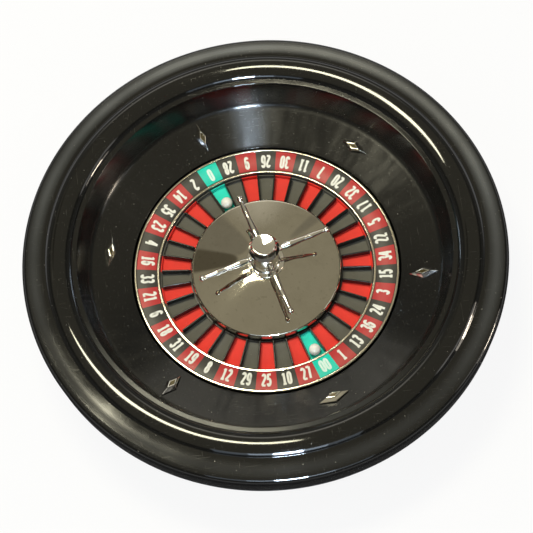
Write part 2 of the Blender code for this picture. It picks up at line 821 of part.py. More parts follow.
def make_trims(rotor):
    """The two bright rings: a rounded one at the rotor's edge, and a flat one over the pockets' wall."""
    rim = rotor_rim_height()
    outer_bottom = rim - TRIM_DEPTH
    outer_inner = ROTOR_RADIUS - TRIM_WIDTH
    crown = TRIM_WIDTH / 4
    profile = [
        (outer_inner, outer_bottom),
        (ROTOR_RADIUS, outer_bottom),
        (ROTOR_RADIUS, rim - crown),
        (ROTOR_RADIUS - crown, rim),
        (outer_inner, rim),
    ]
    turned("outer_trim_ring", profile, PAN_FACETS, chrome(), rotor)
    inner_outer = number_ring_inner_radius()
    inner_inner = inner_outer - TRIM_WIDTH
    top = number_ring_top(inner_outer)
    profile = [
        (inner_inner, number_ring_top(inner_inner) - NUMBER_RING_THICKNESS),
        (inner_outer, top - NUMBER_RING_THICKNESS),
        (inner_outer, top),
        (inner_inner, top),
    ]
    turned("inner_trim_ring", profile, PAN_FACETS, chrome(), rotor)


def make_pocket_ring(rotor):
    """The coloured floor of the pockets, with the low wall at their outer end."""
    top = pocket_floor_height()
    bottom = top - POCKET_FLOOR_THICKNESS
    inner = fret_hoop_inner_radius()
    lip_face = pocket_outer_radius()
    outer = lip_face + POCKET_LIP_THICKNESS
    profile = [
        (inner, bottom),
        (outer, bottom),
        (outer, top + POCKET_LIP_HEIGHT),
        (lip_face, top + POCKET_LIP_HEIGHT),
        (lip_face, top),
        (inner, top),
    ]
    turned("pocket_ring", profile, POCKET_FACETS, finish("pocket_colours", (0.6, 0.04, 0.04), 0.4), rotor)


def fret_azimuths():
    """Separators stand between pockets, half a pitch from the middle of pocket 0."""
    half_pitch = 180.0 / POCKET_COUNT
    return around(POCKET_COUNT, half_pitch)


def make_frets(rotor):
    """The separators, one moulding: a low hoop against the dish and a thin upright fin between pockets."""
    foot = pocket_floor_height() + SEAT_GAP
    inner = fret_hoop_inner_radius()
    hoop_outer = inner + FRET_HOOP_THICKNESS
    hoop = tube_profile(inner, hoop_outer, foot, foot + FRET_HOOP_HEIGHT)
    frets = turned("fret_ring", hoop, POCKET_FACETS, finish("fret_plastic", (0.015, 0.015, 0.015), 0.3), rotor)
    start = inner + FRET_HOOP_THICKNESS / 2
    end = fret_end_radius()
    outline = [
        (start, foot),
        (end, foot),
        (end, foot + FRET_HEIGHT),
        (start + FRET_CHAMFER, foot + FRET_HEIGHT),
        (start, foot + FRET_HEIGHT - FRET_CHAMFER),
    ]
    fins = bmesh.new()
    for azimuth in fret_azimuths():
        corners = [fins.verts.new((radius, -FRET_THICKNESS / 2, height)) for radius, height in outline]
        face = fins.faces.new(corners)
        pushed = bmesh.ops.extrude_face_region(fins, geom=[face])["geom"]
        far_side = [item for item in pushed if isinstance(item, bmesh.types.BMVert)]
        bmesh.ops.translate(fins, vec=(0.0, FRET_THICKNESS, 0.0), verts=far_side)
        turn = Matrix.Rotation(math.radians(azimuth), 4, "Z")
        bmesh.ops.transform(fins, matrix=turn, verts=corners + far_side)
    fin_shapes = helper("fret_fins", fins)
    fin_shapes.parent = rotor
    combine(frets, fin_shapes, "UNION")


def make_dish(rotor):
    face = dish_path()
    profile = face + inset_path(face, DISH_THICKNESS)[::-1]
    turned("cone_dish", profile, DISH_FACETS, chrome(), rotor)


def arm_azimuths():
    return around(ARM_COUNT, ARM_LEAD)


def arm_axis_height():
    return column_foot() + ARM_HEIGHT


def along_arm(azimuth, radius):
    """A matrix that lays a piece turned round +Z along an arm, starting at a radius from the axis."""
    outwards = Matrix.Rotation(math.radians(90.0), 4, "Y")
    return at_azimuth(azimuth, radius, arm_axis_height()) @ outwards


def make_turret(rotor):
    foot = column_foot()
    top = foot + COLUMN_HEIGHT
    shank_end = turret_nut_bottom()
    nut_top = shank_end + TURRET_NUT_HEIGHT
    flange_top = foot + COLUMN_FLANGE_HEIGHT
    flange_radius = COLUMN_RADIUS + COLUMN_FLANGE_WIDTH
    profile = [
        (0.0, shank_end),
        (COLUMN_SHANK_RADIUS, shank_end),
        (COLUMN_SHANK_RADIUS, foot),
        (flange_radius, foot),
        (flange_radius, flange_top - COLUMN_EDGE),
        (flange_radius - COLUMN_EDGE, flange_top),
        (COLUMN_RADIUS + COLUMN_FILLET, flange_top),
        (COLUMN_RADIUS, flange_top + COLUMN_FILLET),
        (COLUMN_RADIUS, top - COLUMN_EDGE),
        (COLUMN_RADIUS - COLUMN_EDGE, top),
        (0.0, top),
    ]
    column = turned("turret_column", profile, TURRET_FACETS, chrome(), rotor)
    peg_bottom = top + SEAT_GAP - CAP_PEG_LENGTH
    drill(column, "cap_socket", CAP_PEG_RADIUS, peg_bottom - SEAT_GAP, top + OVERRUN)
    places = [along_arm(azimuth, COLUMN_RADIUS) for azimuth in arm_azimuths()]
    drill(column, "arm_sockets", ARM_STUB_RADIUS, -ARM_STUB_LENGTH - SEAT_GAP, OVERRUN, places, HEX_FACETS)
    make_nut("turret_nut", TURRET_NUT_RADIUS, COLUMN_SHANK_RADIUS, shank_end, nut_top, rotor)
    make_cap(rotor, top + SEAT_GAP, peg_bottom)


def make_cap(rotor, seat, peg_bottom):
    """The finial: a collar that overhangs the column and flares up to a neck, and a round edge about a hollow cone."""
    collar_top = seat + CAP_COLLAR_HEIGHT
    neck_top = collar_top + CAP_NECK_HEIGHT
    collar_radius = COLUMN_RADIUS + CAP_COLLAR_OVERHANG
    edge_centre = (collar_radius - CAP_EDGE_SETBACK - CAP_EDGE_ROUND, neck_top + CAP_EDGE_ROUND)
    edge = arc(edge_centre, CAP_EDGE_ROUND, -60.0, 90.0 + CAP_SLOPE, 3)
    edge_radius, edge_top = edge[-1]
    apex = edge_top - edge_radius * math.tan(math.radians(CAP_SLOPE))
    profile = [
        (0.0, peg_bottom),
        (CAP_PEG_RADIUS, peg_bottom),
        (CAP_PEG_RADIUS, seat),
        (collar_radius - COLUMN_EDGE, seat),
        (collar_radius, seat + COLUMN_EDGE),
        (collar_radius, collar_top),
        (collar_radius - CAP_FLARE_SETBACK, collar_top + CAP_FLARE_HEIGHT),
        (collar_radius - CAP_NECK_SETBACK, neck_top),
    ]
    turned("turret_cap", profile + edge + [(0.0, apex)], TURRET_FACETS, chrome(), rotor)


def arm_profile():
    """Radii along an arm, from the stub in the column to the ball at the tip, as (radius, distance)."""
    length = dish_radius() - ARM_SETBACK - COLUMN_RADIUS - SEAT_GAP
    tip_centre = length - ARM_TIP_RADIUS
    turned_length = tip_centre - ARM_TIP_RADIUS
    turned_shares = (
        (0.00, ARM_COLLAR_RADIUS),
        (0.05, ARM_COLLAR_RADIUS),
        (0.08, ARM_NECK_RADIUS),
        (0.26, ARM_BULGE_RADIUS),
        (0.56, ARM_WAIST_RADIUS),
        (0.76, ARM_SECOND_BULGE_RADIUS),
        (0.97, ARM_TIP_NECK_RADIUS),
    )
    points = [(0.0, -ARM_STUB_LENGTH), (ARM_STUB_RADIUS, -ARM_STUB_LENGTH), (ARM_STUB_RADIUS, 0.0)]
    points += [(radius, share * turned_length) for share, radius in turned_shares]
    tip = arc((0.0, tip_centre), ARM_TIP_RADIUS, -45.0, 90.0, 4)
    return points + tip[:-1] + [(0.0, length)]


def make_arms(rotor):
    profile = arm_profile()
    for index, azimuth in enumerate(arm_azimuths(), 1):
        arm = turned(f"turret_arm_{index}", profile, ARM_FACETS, chrome(), rotor)
        arm.matrix_local = along_arm(azimuth, COLUMN_RADIUS + SEAT_GAP)


def rhombus(length, width, height):
    return [
        (length / 2, 0.0, height),
        (0.0, width / 2, height),
        (-length / 2, 0.0, height),
        (0.0, -width / 2, height),
    ]


def make_deflectors():
    """Bright diamonds: a low rhombus whose facets rise to a small flat one, every other one turned across."""
    slope = Matrix.Rotation(-math.radians(APRON_SLOPE), 4, "Y")
    run = APRON_RUN - DEFLECTOR_INNER_MARGIN - DEFLECTOR_OUTER_MARGIN
    length = run / math.cos(math.radians(APRON_SLOPE))
    circle = well_radius() + DEFLECTOR_INNER_MARGIN + run / 2
    seat = apron_height(circle)
    azimuths = around(DEFLECTOR_COUNT, FIRST_DEFLECTOR_AZIMUTH)
    for index, azimuth in enumerate(azimuths, 1):
        mesh_data = bmesh.new()
        levels = [
            rhombus(length, DEFLECTOR_WIDTH, 0.0),
            rhombus(length, DEFLECTOR_WIDTH, DEFLECTOR_EDGE),
            rhombus(DEFLECTOR_TOP_LENGTH, DEFLECTOR_TOP_WIDTH, DEFLECTOR_HEIGHT),
        ]
        rings = [[mesh_data.verts.new(corner) for corner in level] for level in levels]
        mesh_data.faces.new(rings[0])
        mesh_data.faces.new(rings[-1])
        for lower, upper in zip(rings, rings[1:]):
            for corner in range(len(lower)):
                beside = (corner + 1) % len(lower)
                mesh_data.faces.new((lower[corner], lower[beside], upper[beside], upper[corner]))
        deflector = new_object(f"deflector_{index}", mesh_data, chrome())
        across = Matrix.Rotation(math.radians(90.0 * ((index + 1) % 2)), 4, "Z")
        lift = Matrix.Translation((0.0, 0.0, DEFLECTOR_LIFT))
        deflector.matrix_world = at_azimuth(azimuth, circle, seat) @ slope @ lift @ across


def ball_radius():
    """Radius of a ball that lies near the hoop, with BALL_SIDE_GAP between it and a separator on each side."""
    nearest = fret_hoop_inner_radius() + FRET_HOOP_THICKNESS + BALL_A_STANDOFF
    spread = math.sin(math.pi / POCKET_COUNT)
    return (nearest * spread - FRET_THICKNESS / 2 - BALL_SIDE_GAP) / (1 - spread)


def make_balls(rotor):
    """One ball in pocket 0, near the hoop, and one in pocket 00, against the outer wall."""
    ivory = finish("ivory_ball", (0.85, 0.85, 0.83), 0.25)
    radius = ball_radius()
    height = pocket_floor_height() + SEAT_GAP + radius
    profile = arc((0.0, 0.0), radius, -90.0, 90.0, 6)
    profile = [(0.0, -radius)] + profile[1:-1] + [(0.0, radius)]
    near = fret_hoop_inner_radius() + FRET_HOOP_THICKNESS + BALL_A_STANDOFF + radius
    far = fret_end_radius() - BALL_B_STANDOFF - radius
    places = (("ball_a", 0.0, near), ("ball_b", 180.0, far))
    for name, azimuth, circle in places:
        ball = turned(name, profile, HEX_FACETS * 2, ivory, rotor)
        ball.matrix_local = at_azimuth(azimuth, circle, height)


def turning_axis(name, azimuth):
    """An empty on the spindle's axis, which carries what turns."""
    axis = bpy.data.objects.new(name, None)
    bpy.context.scene.collection.objects.link(axis)
    axis.rotation_euler.z = math.radians(azimuth)
    return axis


def main():
    clear_scene()
    rotor = turning_axis("rotor_axis", POCKET_ZERO_AZIMUTH)
    make_bowl()
    make_base()
    make_screws()
    make_feet()
    make_spindle()
    for level, word in enumerate(("lower", "upper")):
        make_bearing(level, word, rotor, turning_axis(f"cage_axis_{word}", 0.0))
    make_bearing_spacers(rotor)
    make_rotor_pan(rotor)
    make_number_ring(rotor)
    make_trims(rotor)
    make_pocket_ring(rotor)
    make_frets(rotor)
    make_dish(rotor)
    make_turret(rotor)
    make_arms(rotor)
    make_deflectors()
    make_balls(rotor)


main()
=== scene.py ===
"""Looks of a double-zero roulette wheel: a glossy black bowl, a coloured rotor, and a bright turret.

Sizes are in millimetres unless a line says otherwise. A profile is a list of (distance from the spindle's
axis, height over the table), and a third figure in a corner is the round that eases it.
"""

import math

import bmesh
import bpy
from mathutils import Matrix, Vector


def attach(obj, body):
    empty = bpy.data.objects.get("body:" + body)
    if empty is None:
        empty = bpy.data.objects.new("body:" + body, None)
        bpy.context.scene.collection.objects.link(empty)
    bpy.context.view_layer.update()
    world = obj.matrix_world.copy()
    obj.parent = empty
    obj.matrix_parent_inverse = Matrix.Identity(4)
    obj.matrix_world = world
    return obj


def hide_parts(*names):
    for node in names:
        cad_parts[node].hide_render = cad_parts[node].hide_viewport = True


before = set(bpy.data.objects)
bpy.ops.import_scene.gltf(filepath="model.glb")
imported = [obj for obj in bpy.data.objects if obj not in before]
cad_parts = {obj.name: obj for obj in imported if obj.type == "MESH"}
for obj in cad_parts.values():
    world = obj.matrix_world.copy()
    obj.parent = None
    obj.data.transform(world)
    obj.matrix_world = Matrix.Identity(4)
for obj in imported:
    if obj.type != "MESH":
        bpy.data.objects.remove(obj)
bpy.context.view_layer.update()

MM = 0.001
TURN = math.tau

# Wheel order, clockwise from 0, and where cell 0 stands
NUMBERS = (
    "0 28 9 26 30 11 7 20 32 17 5 22 34 15 3 24 36 13 1 "
    "00 27 10 25 29 12 8 19 31 18 6 21 33 16 4 23 35 14 2"
).split()
CELL_COUNT = len(NUMBERS)
PITCH = 360.0 / CELL_COUNT
ZERO_AZIMUTH = 112.34

# Rotor
RING_INNER, RING_OUTER = 118.3, 139.3
RING_INNER_HEIGHT, RING_OUTER_HEIGHT = 45.843, 48.857
RING_THICKNESS = 1.2
FLOOR_HEIGHT = 36.0
POCKET_INNER, POCKET_OUTER = 81.3, 113.5
DISH_EDGE = 80.7
COLUMN_FOOT = 64.0
COLUMN_RADIUS = 14.6
ARM_HEIGHT = 82.3
ARM_START = 14.9
FIRST_ARM = ZERO_AZIMUTH + 83.76
BALL_RADIUS = 6.3

# Bowl
APRON_SLOPE = 25.0
WELL_EDGE = (144.5, 49.1)
TRACK_CORNER = (187.9, 69.34)
LIP = (195.93, 101.12)
BEAD_CENTRE = (215.65, 93.04)
BEAD_RADIUS = 17.0
RIM_EDGE_CENTRE = (245.97, 94.26)
RIM_EDGE_ROUND = 8.0

# Circles on which like parts stand, each with the azimuth of its first one
SCREW_CIRCLE, FIRST_SCREW = 118.0, 3.75
FOOT_CIRCLE, FIRST_FOOT = 150.0, 48.75
DEFLECTOR_CIRCLE, FIRST_DEFLECTOR = 168.2, -11.55

# Figures on the printed ring
FIGURE_CIRCLE = 127.9
FIGURE_WIDTH = 2.9
FIGURE_RISE = 12.6
FIGURE_STROKE = 2.4
FIGURE_STEP = 5.5


# ---- profiles and turned pieces


def bend(x, y, across, up, start, end, steps=9):
    """Points of part of an ellipse, with angles in degrees anticlockwise from the right."""
    turns = [math.radians(start + (end - start) * step / steps) for step in range(steps + 1)]
    return [(x + across * math.cos(t), y + up * math.sin(t)) for t in turns]


def arc(centre, radius, start, end, steps):
    return bend(*centre, radius, radius, start, end, steps)


def eased(corners, steps=5, closed=False):
    """A path through the corners, each one rounded by its third figure if it has one."""
    path = []
    count = len(corners)
    for index, corner in enumerate(corners):
        here = Vector(corner[:2])
        ease = corner[2] if len(corner) > 2 else 0.0
        inside = closed or 0 < index < count - 1
        if not ease or not inside:
            path.append(tuple(here))
            continue
        before = Vector(corners[index - 1][:2]) - here
        after = Vector(corners[(index + 1) % count][:2]) - here
        half = before.angle(after) / 2
        reach = min(ease / math.tan(half), 0.49 * before.length, 0.49 * after.length)
        radius = reach * math.tan(half)
        before.normalize()
        after.normalize()
        centre = here + (before + after).normalized() * (radius / math.sin(half))
        first = here + before * reach - centre
        last = here + after * reach - centre
        sweep = first.angle_signed(last)
        for step in range(steps + 1):
            spoke = first.copy()
            spoke.rotate(Matrix.Rotation(-sweep * step / steps, 2))
            path.append(tuple(centre + spoke))
    return path


def placed(name, data):
    """A new object of the scene, made of the data."""
    made = bpy.data.objects.new(name, data)
    bpy.context.scene.collection.objects.link(made)
    return made


def shade(piece, sharp=32.0):
    """Shades a piece smooth, but for edges sharper than the angle, in degrees."""
    piece.data.shade_smooth()
    piece.data.set_sharp_from_angle(angle=math.radians(sharp))
    return piece


def skinned(name, skin, finishes, sharp):
    """An object with a bmesh's mesh and these finishes. The bmesh is freed."""
    mesh = bpy.data.meshes.new(name)
    skin.to_mesh(mesh)
    skin.free()
    for finish in finishes:
        mesh.materials.append(finish)
    return shade(placed(name, mesh), sharp)


def new_piece(name, skin, finishes, sharp=32.0):
    """An object from a bmesh built in millimetres, with its seams closed and its faces pointing outwards."""
    bmesh.ops.remove_doubles(skin, verts=skin.verts, dist=0.0005)
    bmesh.ops.dissolve_degenerate(skin, dist=0.0002, edges=skin.edges)
    bmesh.ops.recalc_face_normals(skin, faces=skin.faces)
    bmesh.ops.scale(skin, vec=(MM, MM, MM), verts=skin.verts)
    return skinned(name, skin, finishes, sharp)


def turn_skin(skin, profile, segments, finish_of=None, first=0.0, place=None):
    """Adds a closed profile turned round the axis. finish_of gives a face's finish from its azimuth."""
    rings = []
    for radius, height in profile:
        if radius < 1e-6:
            rings.append([skin.verts.new((0.0, 0.0, height))] * segments)
            continue
        ring = []
        for segment in range(segments):
            angle = math.radians(first) + TURN * segment / segments
            ring.append(skin.verts.new((radius * math.cos(angle), radius * math.sin(angle), height)))
        rings.append(ring)
    for ring, other in zip(rings, rings[1:] + rings[:1]):
        for segment in range(segments):
            beside = (segment + 1) % segments
            corners = list(dict.fromkeys((ring[segment], ring[beside], other[beside], other[segment])))
            if len(corners) < 3:
                continue
            face = skin.faces.new(corners)
            if finish_of:
                face.material_index = finish_of(first + 360.0 * (segment + 0.5) / segments)
    if place is not None:
        used = {vert for ring in rings for vert in ring}
        bmesh.ops.transform(skin, matrix=place, verts=list(used))


def turned(name, profile, segments, finishes, finish_of=None, first=0.0, place=None, sharp=32.0):
    skin = bmesh.new()
    turn_skin(skin, profile, segments, finish_of, first, place)
    return new_piece(name, skin, finishes, sharp)


def stacked(name, rings, finishes, place=Matrix(), sharp=32.0):
    """A body of like outlines stacked up, closed at its foot and its top."""
    skin = bmesh.new()
    rings = [[skin.verts.new(point) for point in ring] for ring in rings]
    skin.faces.new(rings[0])
    skin.faces.new(rings[-1])
    for lower, upper in zip(rings, rings[1:]):
        for index in range(len(lower)):
            beside = (index + 1) % len(lower)
            skin.faces.new((lower[index], lower[beside], upper[beside], upper[index]))
    bmesh.ops.transform(skin, matrix=place, verts=skin.verts)
    return new_piece(name, skin, finishes, sharp)


def plain_mesh(piece, name):
    """The piece as its modifiers leave it, as a new object with a plain mesh. The first object is dropped."""
    graph = bpy.context.evaluated_depsgraph_get()
    graph.update()
    whole = piece.evaluated_get(graph)
    mesh = bpy.data.meshes.new_from_object(whole, preserve_all_data_layers=True, depsgraph=graph)
    mesh.name = name
    bpy.data.objects.remove(piece, do_unlink=True)
    return placed(name, mesh)


def bevelled(piece, width, segments):
    modifier = piece.modifiers.new("eased edges", "BEVEL")
    modifier.width = width * MM
    modifier.segments = segments
    modifier.limit_method = "ANGLE"
    modifier.angle_limit = math.radians(25.0)
    return plain_mesh(piece, piece.name)


def cut(piece, cutter):
    """The piece with the cutter's shape taken out of it."""
    modifier = piece.modifiers.new("cut", "BOOLEAN")
    modifier.operation = "DIFFERENCE"
    modifier.solver = "EXACT"
    modifier.object = cutter
    made = plain_mesh(piece, piece.name)
    bpy.data.objects.remove(cutter, do_unlink=True)
    return shade(made)


def joined(name, pieces, sharp):
    """Several pieces made one mesh, with their finishes kept."""
    finishes = []
    skin = bmesh.new()
    for piece in pieces:
        before = len(skin.faces)
        skin.from_mesh(piece.data)
        skin.faces.ensure_lookup_table()
        order = []
        for finish in piece.data.materials:
            if finish not in finishes:
                finishes.append(finish)
            order.append(finishes.index(finish))
        for face in skin.faces[before:]:
            face.material_index = order[face.material_index]
        bpy.data.objects.remove(piece, do_unlink=True)
    return skinned(name, skin, finishes, sharp)


def at_azimuth(azimuth, radius, height=0.0):
    return Matrix.Rotation(math.radians(azimuth), 4, "Z") @ Matrix.Translation((radius, 0.0, height))


# ---- geometry node trees


def new_tree(name, inputs):
    """A geometry tree with inputs of these kinds. Returns the tree, and its inputs' sockets by name."""
    tree = bpy.data.node_groups.new(name, "GeometryNodeTree")
    for label, kind in inputs.items():
        tree.interface.new_socket(name=label, in_out="INPUT", socket_type="NodeSocket" + kind)
    tree.interface.new_socket(name="Geometry", in_out="OUTPUT", socket_type="NodeSocketGeometry")
    given = tree.nodes.new("NodeGroupInput")
    return tree, {socket.name: socket for socket in given.outputs if socket.name}


def add(tree, kind, links=None, out=0, **settings):
    """Adds a node. links sets its sockets, by name or number, from other sockets or plain values."""
    node = tree.nodes.new(kind)
    for name, value in settings.items():
        setattr(node, name, value)
    for key, value in (links or {}).items():
        socket = node.inputs[key]
        if isinstance(value, bpy.types.NodeSocket):
            tree.links.new(value, socket)
        else:
            socket.default_value = value
    return node.outputs[out] if node.outputs else None


def maths(tree, operation, *values):
    return add(tree, "ShaderNodeMath", dict(enumerate(values)), operation=operation)


def times(tree, first, second):
    return maths(tree, "MULTIPLY", first, second)


def axes_of(tree, place):
    """The X, Y and Z of a vector, as sockets."""
    return add(tree, "ShaderNodeSeparateXYZ", {0: place}).node.outputs


def end_tree(tree, geometry, finish):
    whole = add(tree, "GeometryNodeRealizeInstances", {"Geometry": geometry})
    dressed = add(tree, "GeometryNodeSetMaterial", {"Geometry": whole, "Material": finish})
    add(tree, "NodeGroupOutput", {0: dressed})


def grown(name, tree, values):
    """The plain mesh that a tree makes with these values, given by its inputs' names."""
    host = placed(name, bpy.data.meshes.new(name))
    modifier = host.modifiers.new(name, "NODES")
    modifier.node_group = tree
    for socket in tree.interface.items_tree:
        if socket.in_out == "INPUT":
            modifier[socket.identifier] = values[socket.name]
    return plain_mesh(host, name)


def spaced(tree, given, piece):
    """The piece repeated evenly round the spindle's axis, by the tree's inputs Count and First azimuth."""
    points = add(tree, "GeometryNodePoints", {"Count": given["Count"]})
    step = maths(tree, "DIVIDE", TURN, given["Count"])
    angle = maths(tree, "MULTIPLY_ADD", add(tree, "GeometryNodeInputIndex"), step, given["First azimuth"])
    turn = add(tree, "ShaderNodeCombineXYZ", {"Z": angle})
    return add(tree, "GeometryNodeInstanceOnPoints", {"Points": points, "Instance": piece, "Rotation": turn})


def round_the_axis_tree():
    """Copies of one piece, evenly spaced round the spindle's axis."""
    tree, given = new_tree("copies round the axis", {
        "Piece": "Object", "Count": "Int", "First azimuth": "Float", "Finish": "Material",
    })
    piece = {"Object": given["Piece"]}
    source = add(tree, "GeometryNodeObjectInfo", piece, "Geometry", transform_space="ORIGINAL")
    end_tree(tree, spaced(tree, given, source), given["Finish"])
    return tree


def separator_tree():
    """The pocket separators as one ring: a low hoop, and bars with rounded edges and a sloped inner end."""
    measures = (
        "First azimuth", "Inner radius", "Outer radius", "Foot", "Bar height", "Bar thickness", "Edge round",
        "End slope", "Hoop radius", "Hoop thickness", "Hoop height",
    )
    tree, given = new_tree("separator ring", {
        "Count": "Int", **dict.fromkeys(measures, "Float"), "Hoop steps": "Int", "Finish": "Material",
    })
    middle = maths(tree, "MULTIPLY_ADD", given["Bar height"], 0.5, given["Foot"])
    knee_radius = maths(tree, "ADD", given["Inner radius"], given["End slope"])
    start, end, knee = [
        add(tree, "ShaderNodeCombineXYZ", {"X": radius, "Z": middle})
        for radius in (given["Inner radius"], given["Outer radius"], knee_radius)
    ]
    line = add(tree, "GeometryNodeCurvePrimitiveLine", {"Start": start, "End": end})
    line = add(tree, "GeometryNodeSubdivideCurve", {"Curve": line, "Cuts": 2})
    index = add(tree, "GeometryNodeInputIndex")
    near = add(tree, "FunctionNodeCompare", {2: index, 3: 1}, data_type="INT", operation="EQUAL")
    line = add(tree, "GeometryNodeSetPosition", {"Geometry": line, "Selection": near, "Position": knee})
    oblong = "GeometryNodeCurvePrimitiveQuadrilateral"
    section = add(tree, oblong, {"Width": given["Bar thickness"], "Height": given["Bar height"]})
    section = add(tree, "GeometryNodeFilletCurve", {
        "Curve": section, "Radius": given["Edge round"], "Count": 3, "Limit Radius": True,
    }, mode="POLY")
    bar = add(tree, "GeometryNodeCurveToMesh", {"Curve": line, "Profile Curve": section, "Fill Caps": True})
    across, _, up = axes_of(tree, add(tree, "GeometryNodeInputPosition"))
    at_end = maths(tree, "LESS_THAN", across, maths(tree, "ADD", given["Inner radius"], 0.0001))
    upper = maths(tree, "GREATER_THAN", up, middle)
    lowered = times(tree, times(tree, at_end, upper), given["End slope"])
    drop = add(tree, "ShaderNodeCombineXYZ", {"Z": times(tree, lowered, -1.0)})
    bar = add(tree, "GeometryNodeSetPosition", {"Geometry": bar, "Offset": drop})
    circle = {"Resolution": given["Hoop steps"], "Radius": given["Hoop radius"]}
    circle = add(tree, "GeometryNodeCurvePrimitiveCircle", circle)
    section = add(tree, oblong, {"Width": given["Hoop thickness"], "Height": given["Hoop height"]})
    hoop = add(tree, "GeometryNodeCurveToMesh", {"Curve": circle, "Profile Curve": section})
    hoop_middle = maths(tree, "MULTIPLY_ADD", given["Hoop height"], 0.5, given["Foot"])
    lift = add(tree, "ShaderNodeCombineXYZ", {"Z": hoop_middle})
    hoop = add(tree, "GeometryNodeTransform", {"Geometry": hoop, "Translation": lift})
    both = tree.nodes.new("GeometryNodeJoinGeometry")
    tree.links.new(spaced(tree, given, bar), both.inputs[0])
    tree.links.new(hoop, both.inputs[0])
    end_tree(tree, both.outputs[0], given["Finish"])
    return tree


def copies(name, tree, blank, count, first_azimuth, finish):
    first = math.radians(first_azimuth)
    made = grown(name, tree, {"Piece": blank, "Count": count, "First azimuth": first, "Finish": finish})
    bpy.data.objects.remove(blank, do_unlink=True)
    return shade(made)


# ---- finishes


def new_finish(name, colour, roughness, metallic=0.0, **sockets):
    """A material with a Principled shader. sockets are further uniform values, by the sockets' names."""
    finish = bpy.data.materials.new(name)
    finish.use_nodes = True
    tree = finish.node_tree
    shader = tree.nodes["Principled BSDF"]
    shader.inputs["Base Color"].default_value = (*colour, 1.0)
    shader.inputs["Roughness"].default_value = roughness
    shader.inputs["Metallic"].default_value = metallic
    for label, value in sockets.items():
        shader.inputs[label.replace("_", " ")].default_value = value
    finish.diffuse_color = (*colour, 1.0)
    return finish, tree, shader


def coat(tree, shader, colour, roughness):
    """Leads a colour and a roughness into the shader."""
    tree.links.new(colour, shader.inputs["Base Color"])
    tree.links.new(roughness, shader.inputs["Roughness"])


def object_place(tree):
    return add(tree, "ShaderNodeTexCoord", out="Object")


def polar(tree):
    """Radius from the axis, azimuth and height of a point, as sockets."""
    x, y, z = axes_of(tree, object_place(tree))
    radius = maths(tree, "SQRT", maths(tree, "ADD", times(tree, x, x), times(tree, y, y)))
    return radius, maths(tree, "ARCTAN2", y, x), z


def facing(tree, azimuth, side):
    """The cosine of the angle between an azimuth and a side, which is given in degrees."""
    return maths(tree, "COSINE", maths(tree, "SUBTRACT", azimuth, math.radians(side)))


def noise(tree, scale, detail=2.0, roughness=0.5, place=None):
    return add(tree, "ShaderNodeTexNoise", {
        "Vector": object_place(tree) if place is None else place,
        "Scale": scale, "Detail": detail, "Roughness": roughness,
    })


def turning_marks(tree, along, per_metre, detail, roughness=0.5):
    """Noise that changes along one length only, so that it runs round a turned piece as fine lines."""
    return add(tree, "ShaderNodeTexNoise", {
        "W": times(tree, along, per_metre), "Scale": 1.0, "Detail": detail, "Roughness": roughness,
    }, noise_dimensions="1D")


def ramp(tree, value, low, high, to_low=0.0, to_high=1.0):
    """The value, with low to high stretched over to_low to to_high and held there."""
    return add(tree, "ShaderNodeMapRange", {
        "Value": value, "From Min": low, "From Max": high, "To Min": to_low, "To Max": to_high,
    })


def mixed(tree, share, first, second):
    """A mix of two colours, each a socket or plain. A colour mix has them in its sockets 6 and 7."""
    return add(tree, "ShaderNodeMix", {
        0: share,
        6: first if isinstance(first, bpy.types.NodeSocket) else (*first, 1.0),
        7: second if isinstance(second, bpy.types.NodeSocket) else (*second, 1.0),
    }, out=2, data_type="RGBA")


def raised(tree, shader, height, strength, distance_mm, under=None):
    """Bump from a height, on top of another bump if one is given."""
    links = {"Height": height, "Strength": strength, "Distance": distance_mm * MM}
    if under is not None:
        links["Normal"] = under
    normal = add(tree, "ShaderNodeBump", links)
    tree.links.new(normal, shader.inputs["Normal"])
    return normal


def turning_grain(tree, shader, amount):
    """Draws highlights out across the fine lines that turning or polishing leaves round the axis."""
    shader.inputs["Anisotropic"].default_value = amount
    shader.inputs["Anisotropic Rotation"].default_value = 0.25
    tangent = add(tree, "ShaderNodeTangent", direction_type="RADIAL", axis="Z")
    tree.links.new(tangent, shader.inputs["Tangent"])


def specks(tree, scale, size, share):
    """Dots of dust: near the middle of some of the cells of a Voronoi pattern."""
    links = {"Scale": scale, "Vector": object_place(tree)}
    distance, tint, *_ = add(tree, "ShaderNodeTexVoronoi", links).node.outputs
    near = maths(tree, "LESS_THAN", distance, size)
    chosen = maths(tree, "LESS_THAN", add(tree, "ShaderNodeSeparateColor", {0: tint}), share)
    return times(tree, near, chosen)


def hairlines(tree, scale, thin, share):
    """Fine scratches in two directions, from noise drawn out along lines."""
    both = []
    for drawn in ((scale, scale * thin, scale), (scale * thin, scale * 1.1, scale)):
        place = add(tree, "ShaderNodeMapping", {"Vector": object_place(tree), "Scale": drawn})
        both.append(noise(tree, 1.0, 1.0, place=place))
    return ramp(tree, maths(tree, "MAXIMUM", *both), 1.0 - share, 1.0 - share * 0.8)


def zone(tree, radius, inner, outer, soft):
    """1 between two radii in millimetres and 0 elsewhere, with soft edges."""
    rising = ramp(tree, radius, (inner - soft) * MM, (inner + soft) * MM)
    falling = ramp(tree, radius, (outer - soft) * MM, (outer + soft) * MM, 1.0, 0.0)
    return times(tree, rising, falling)


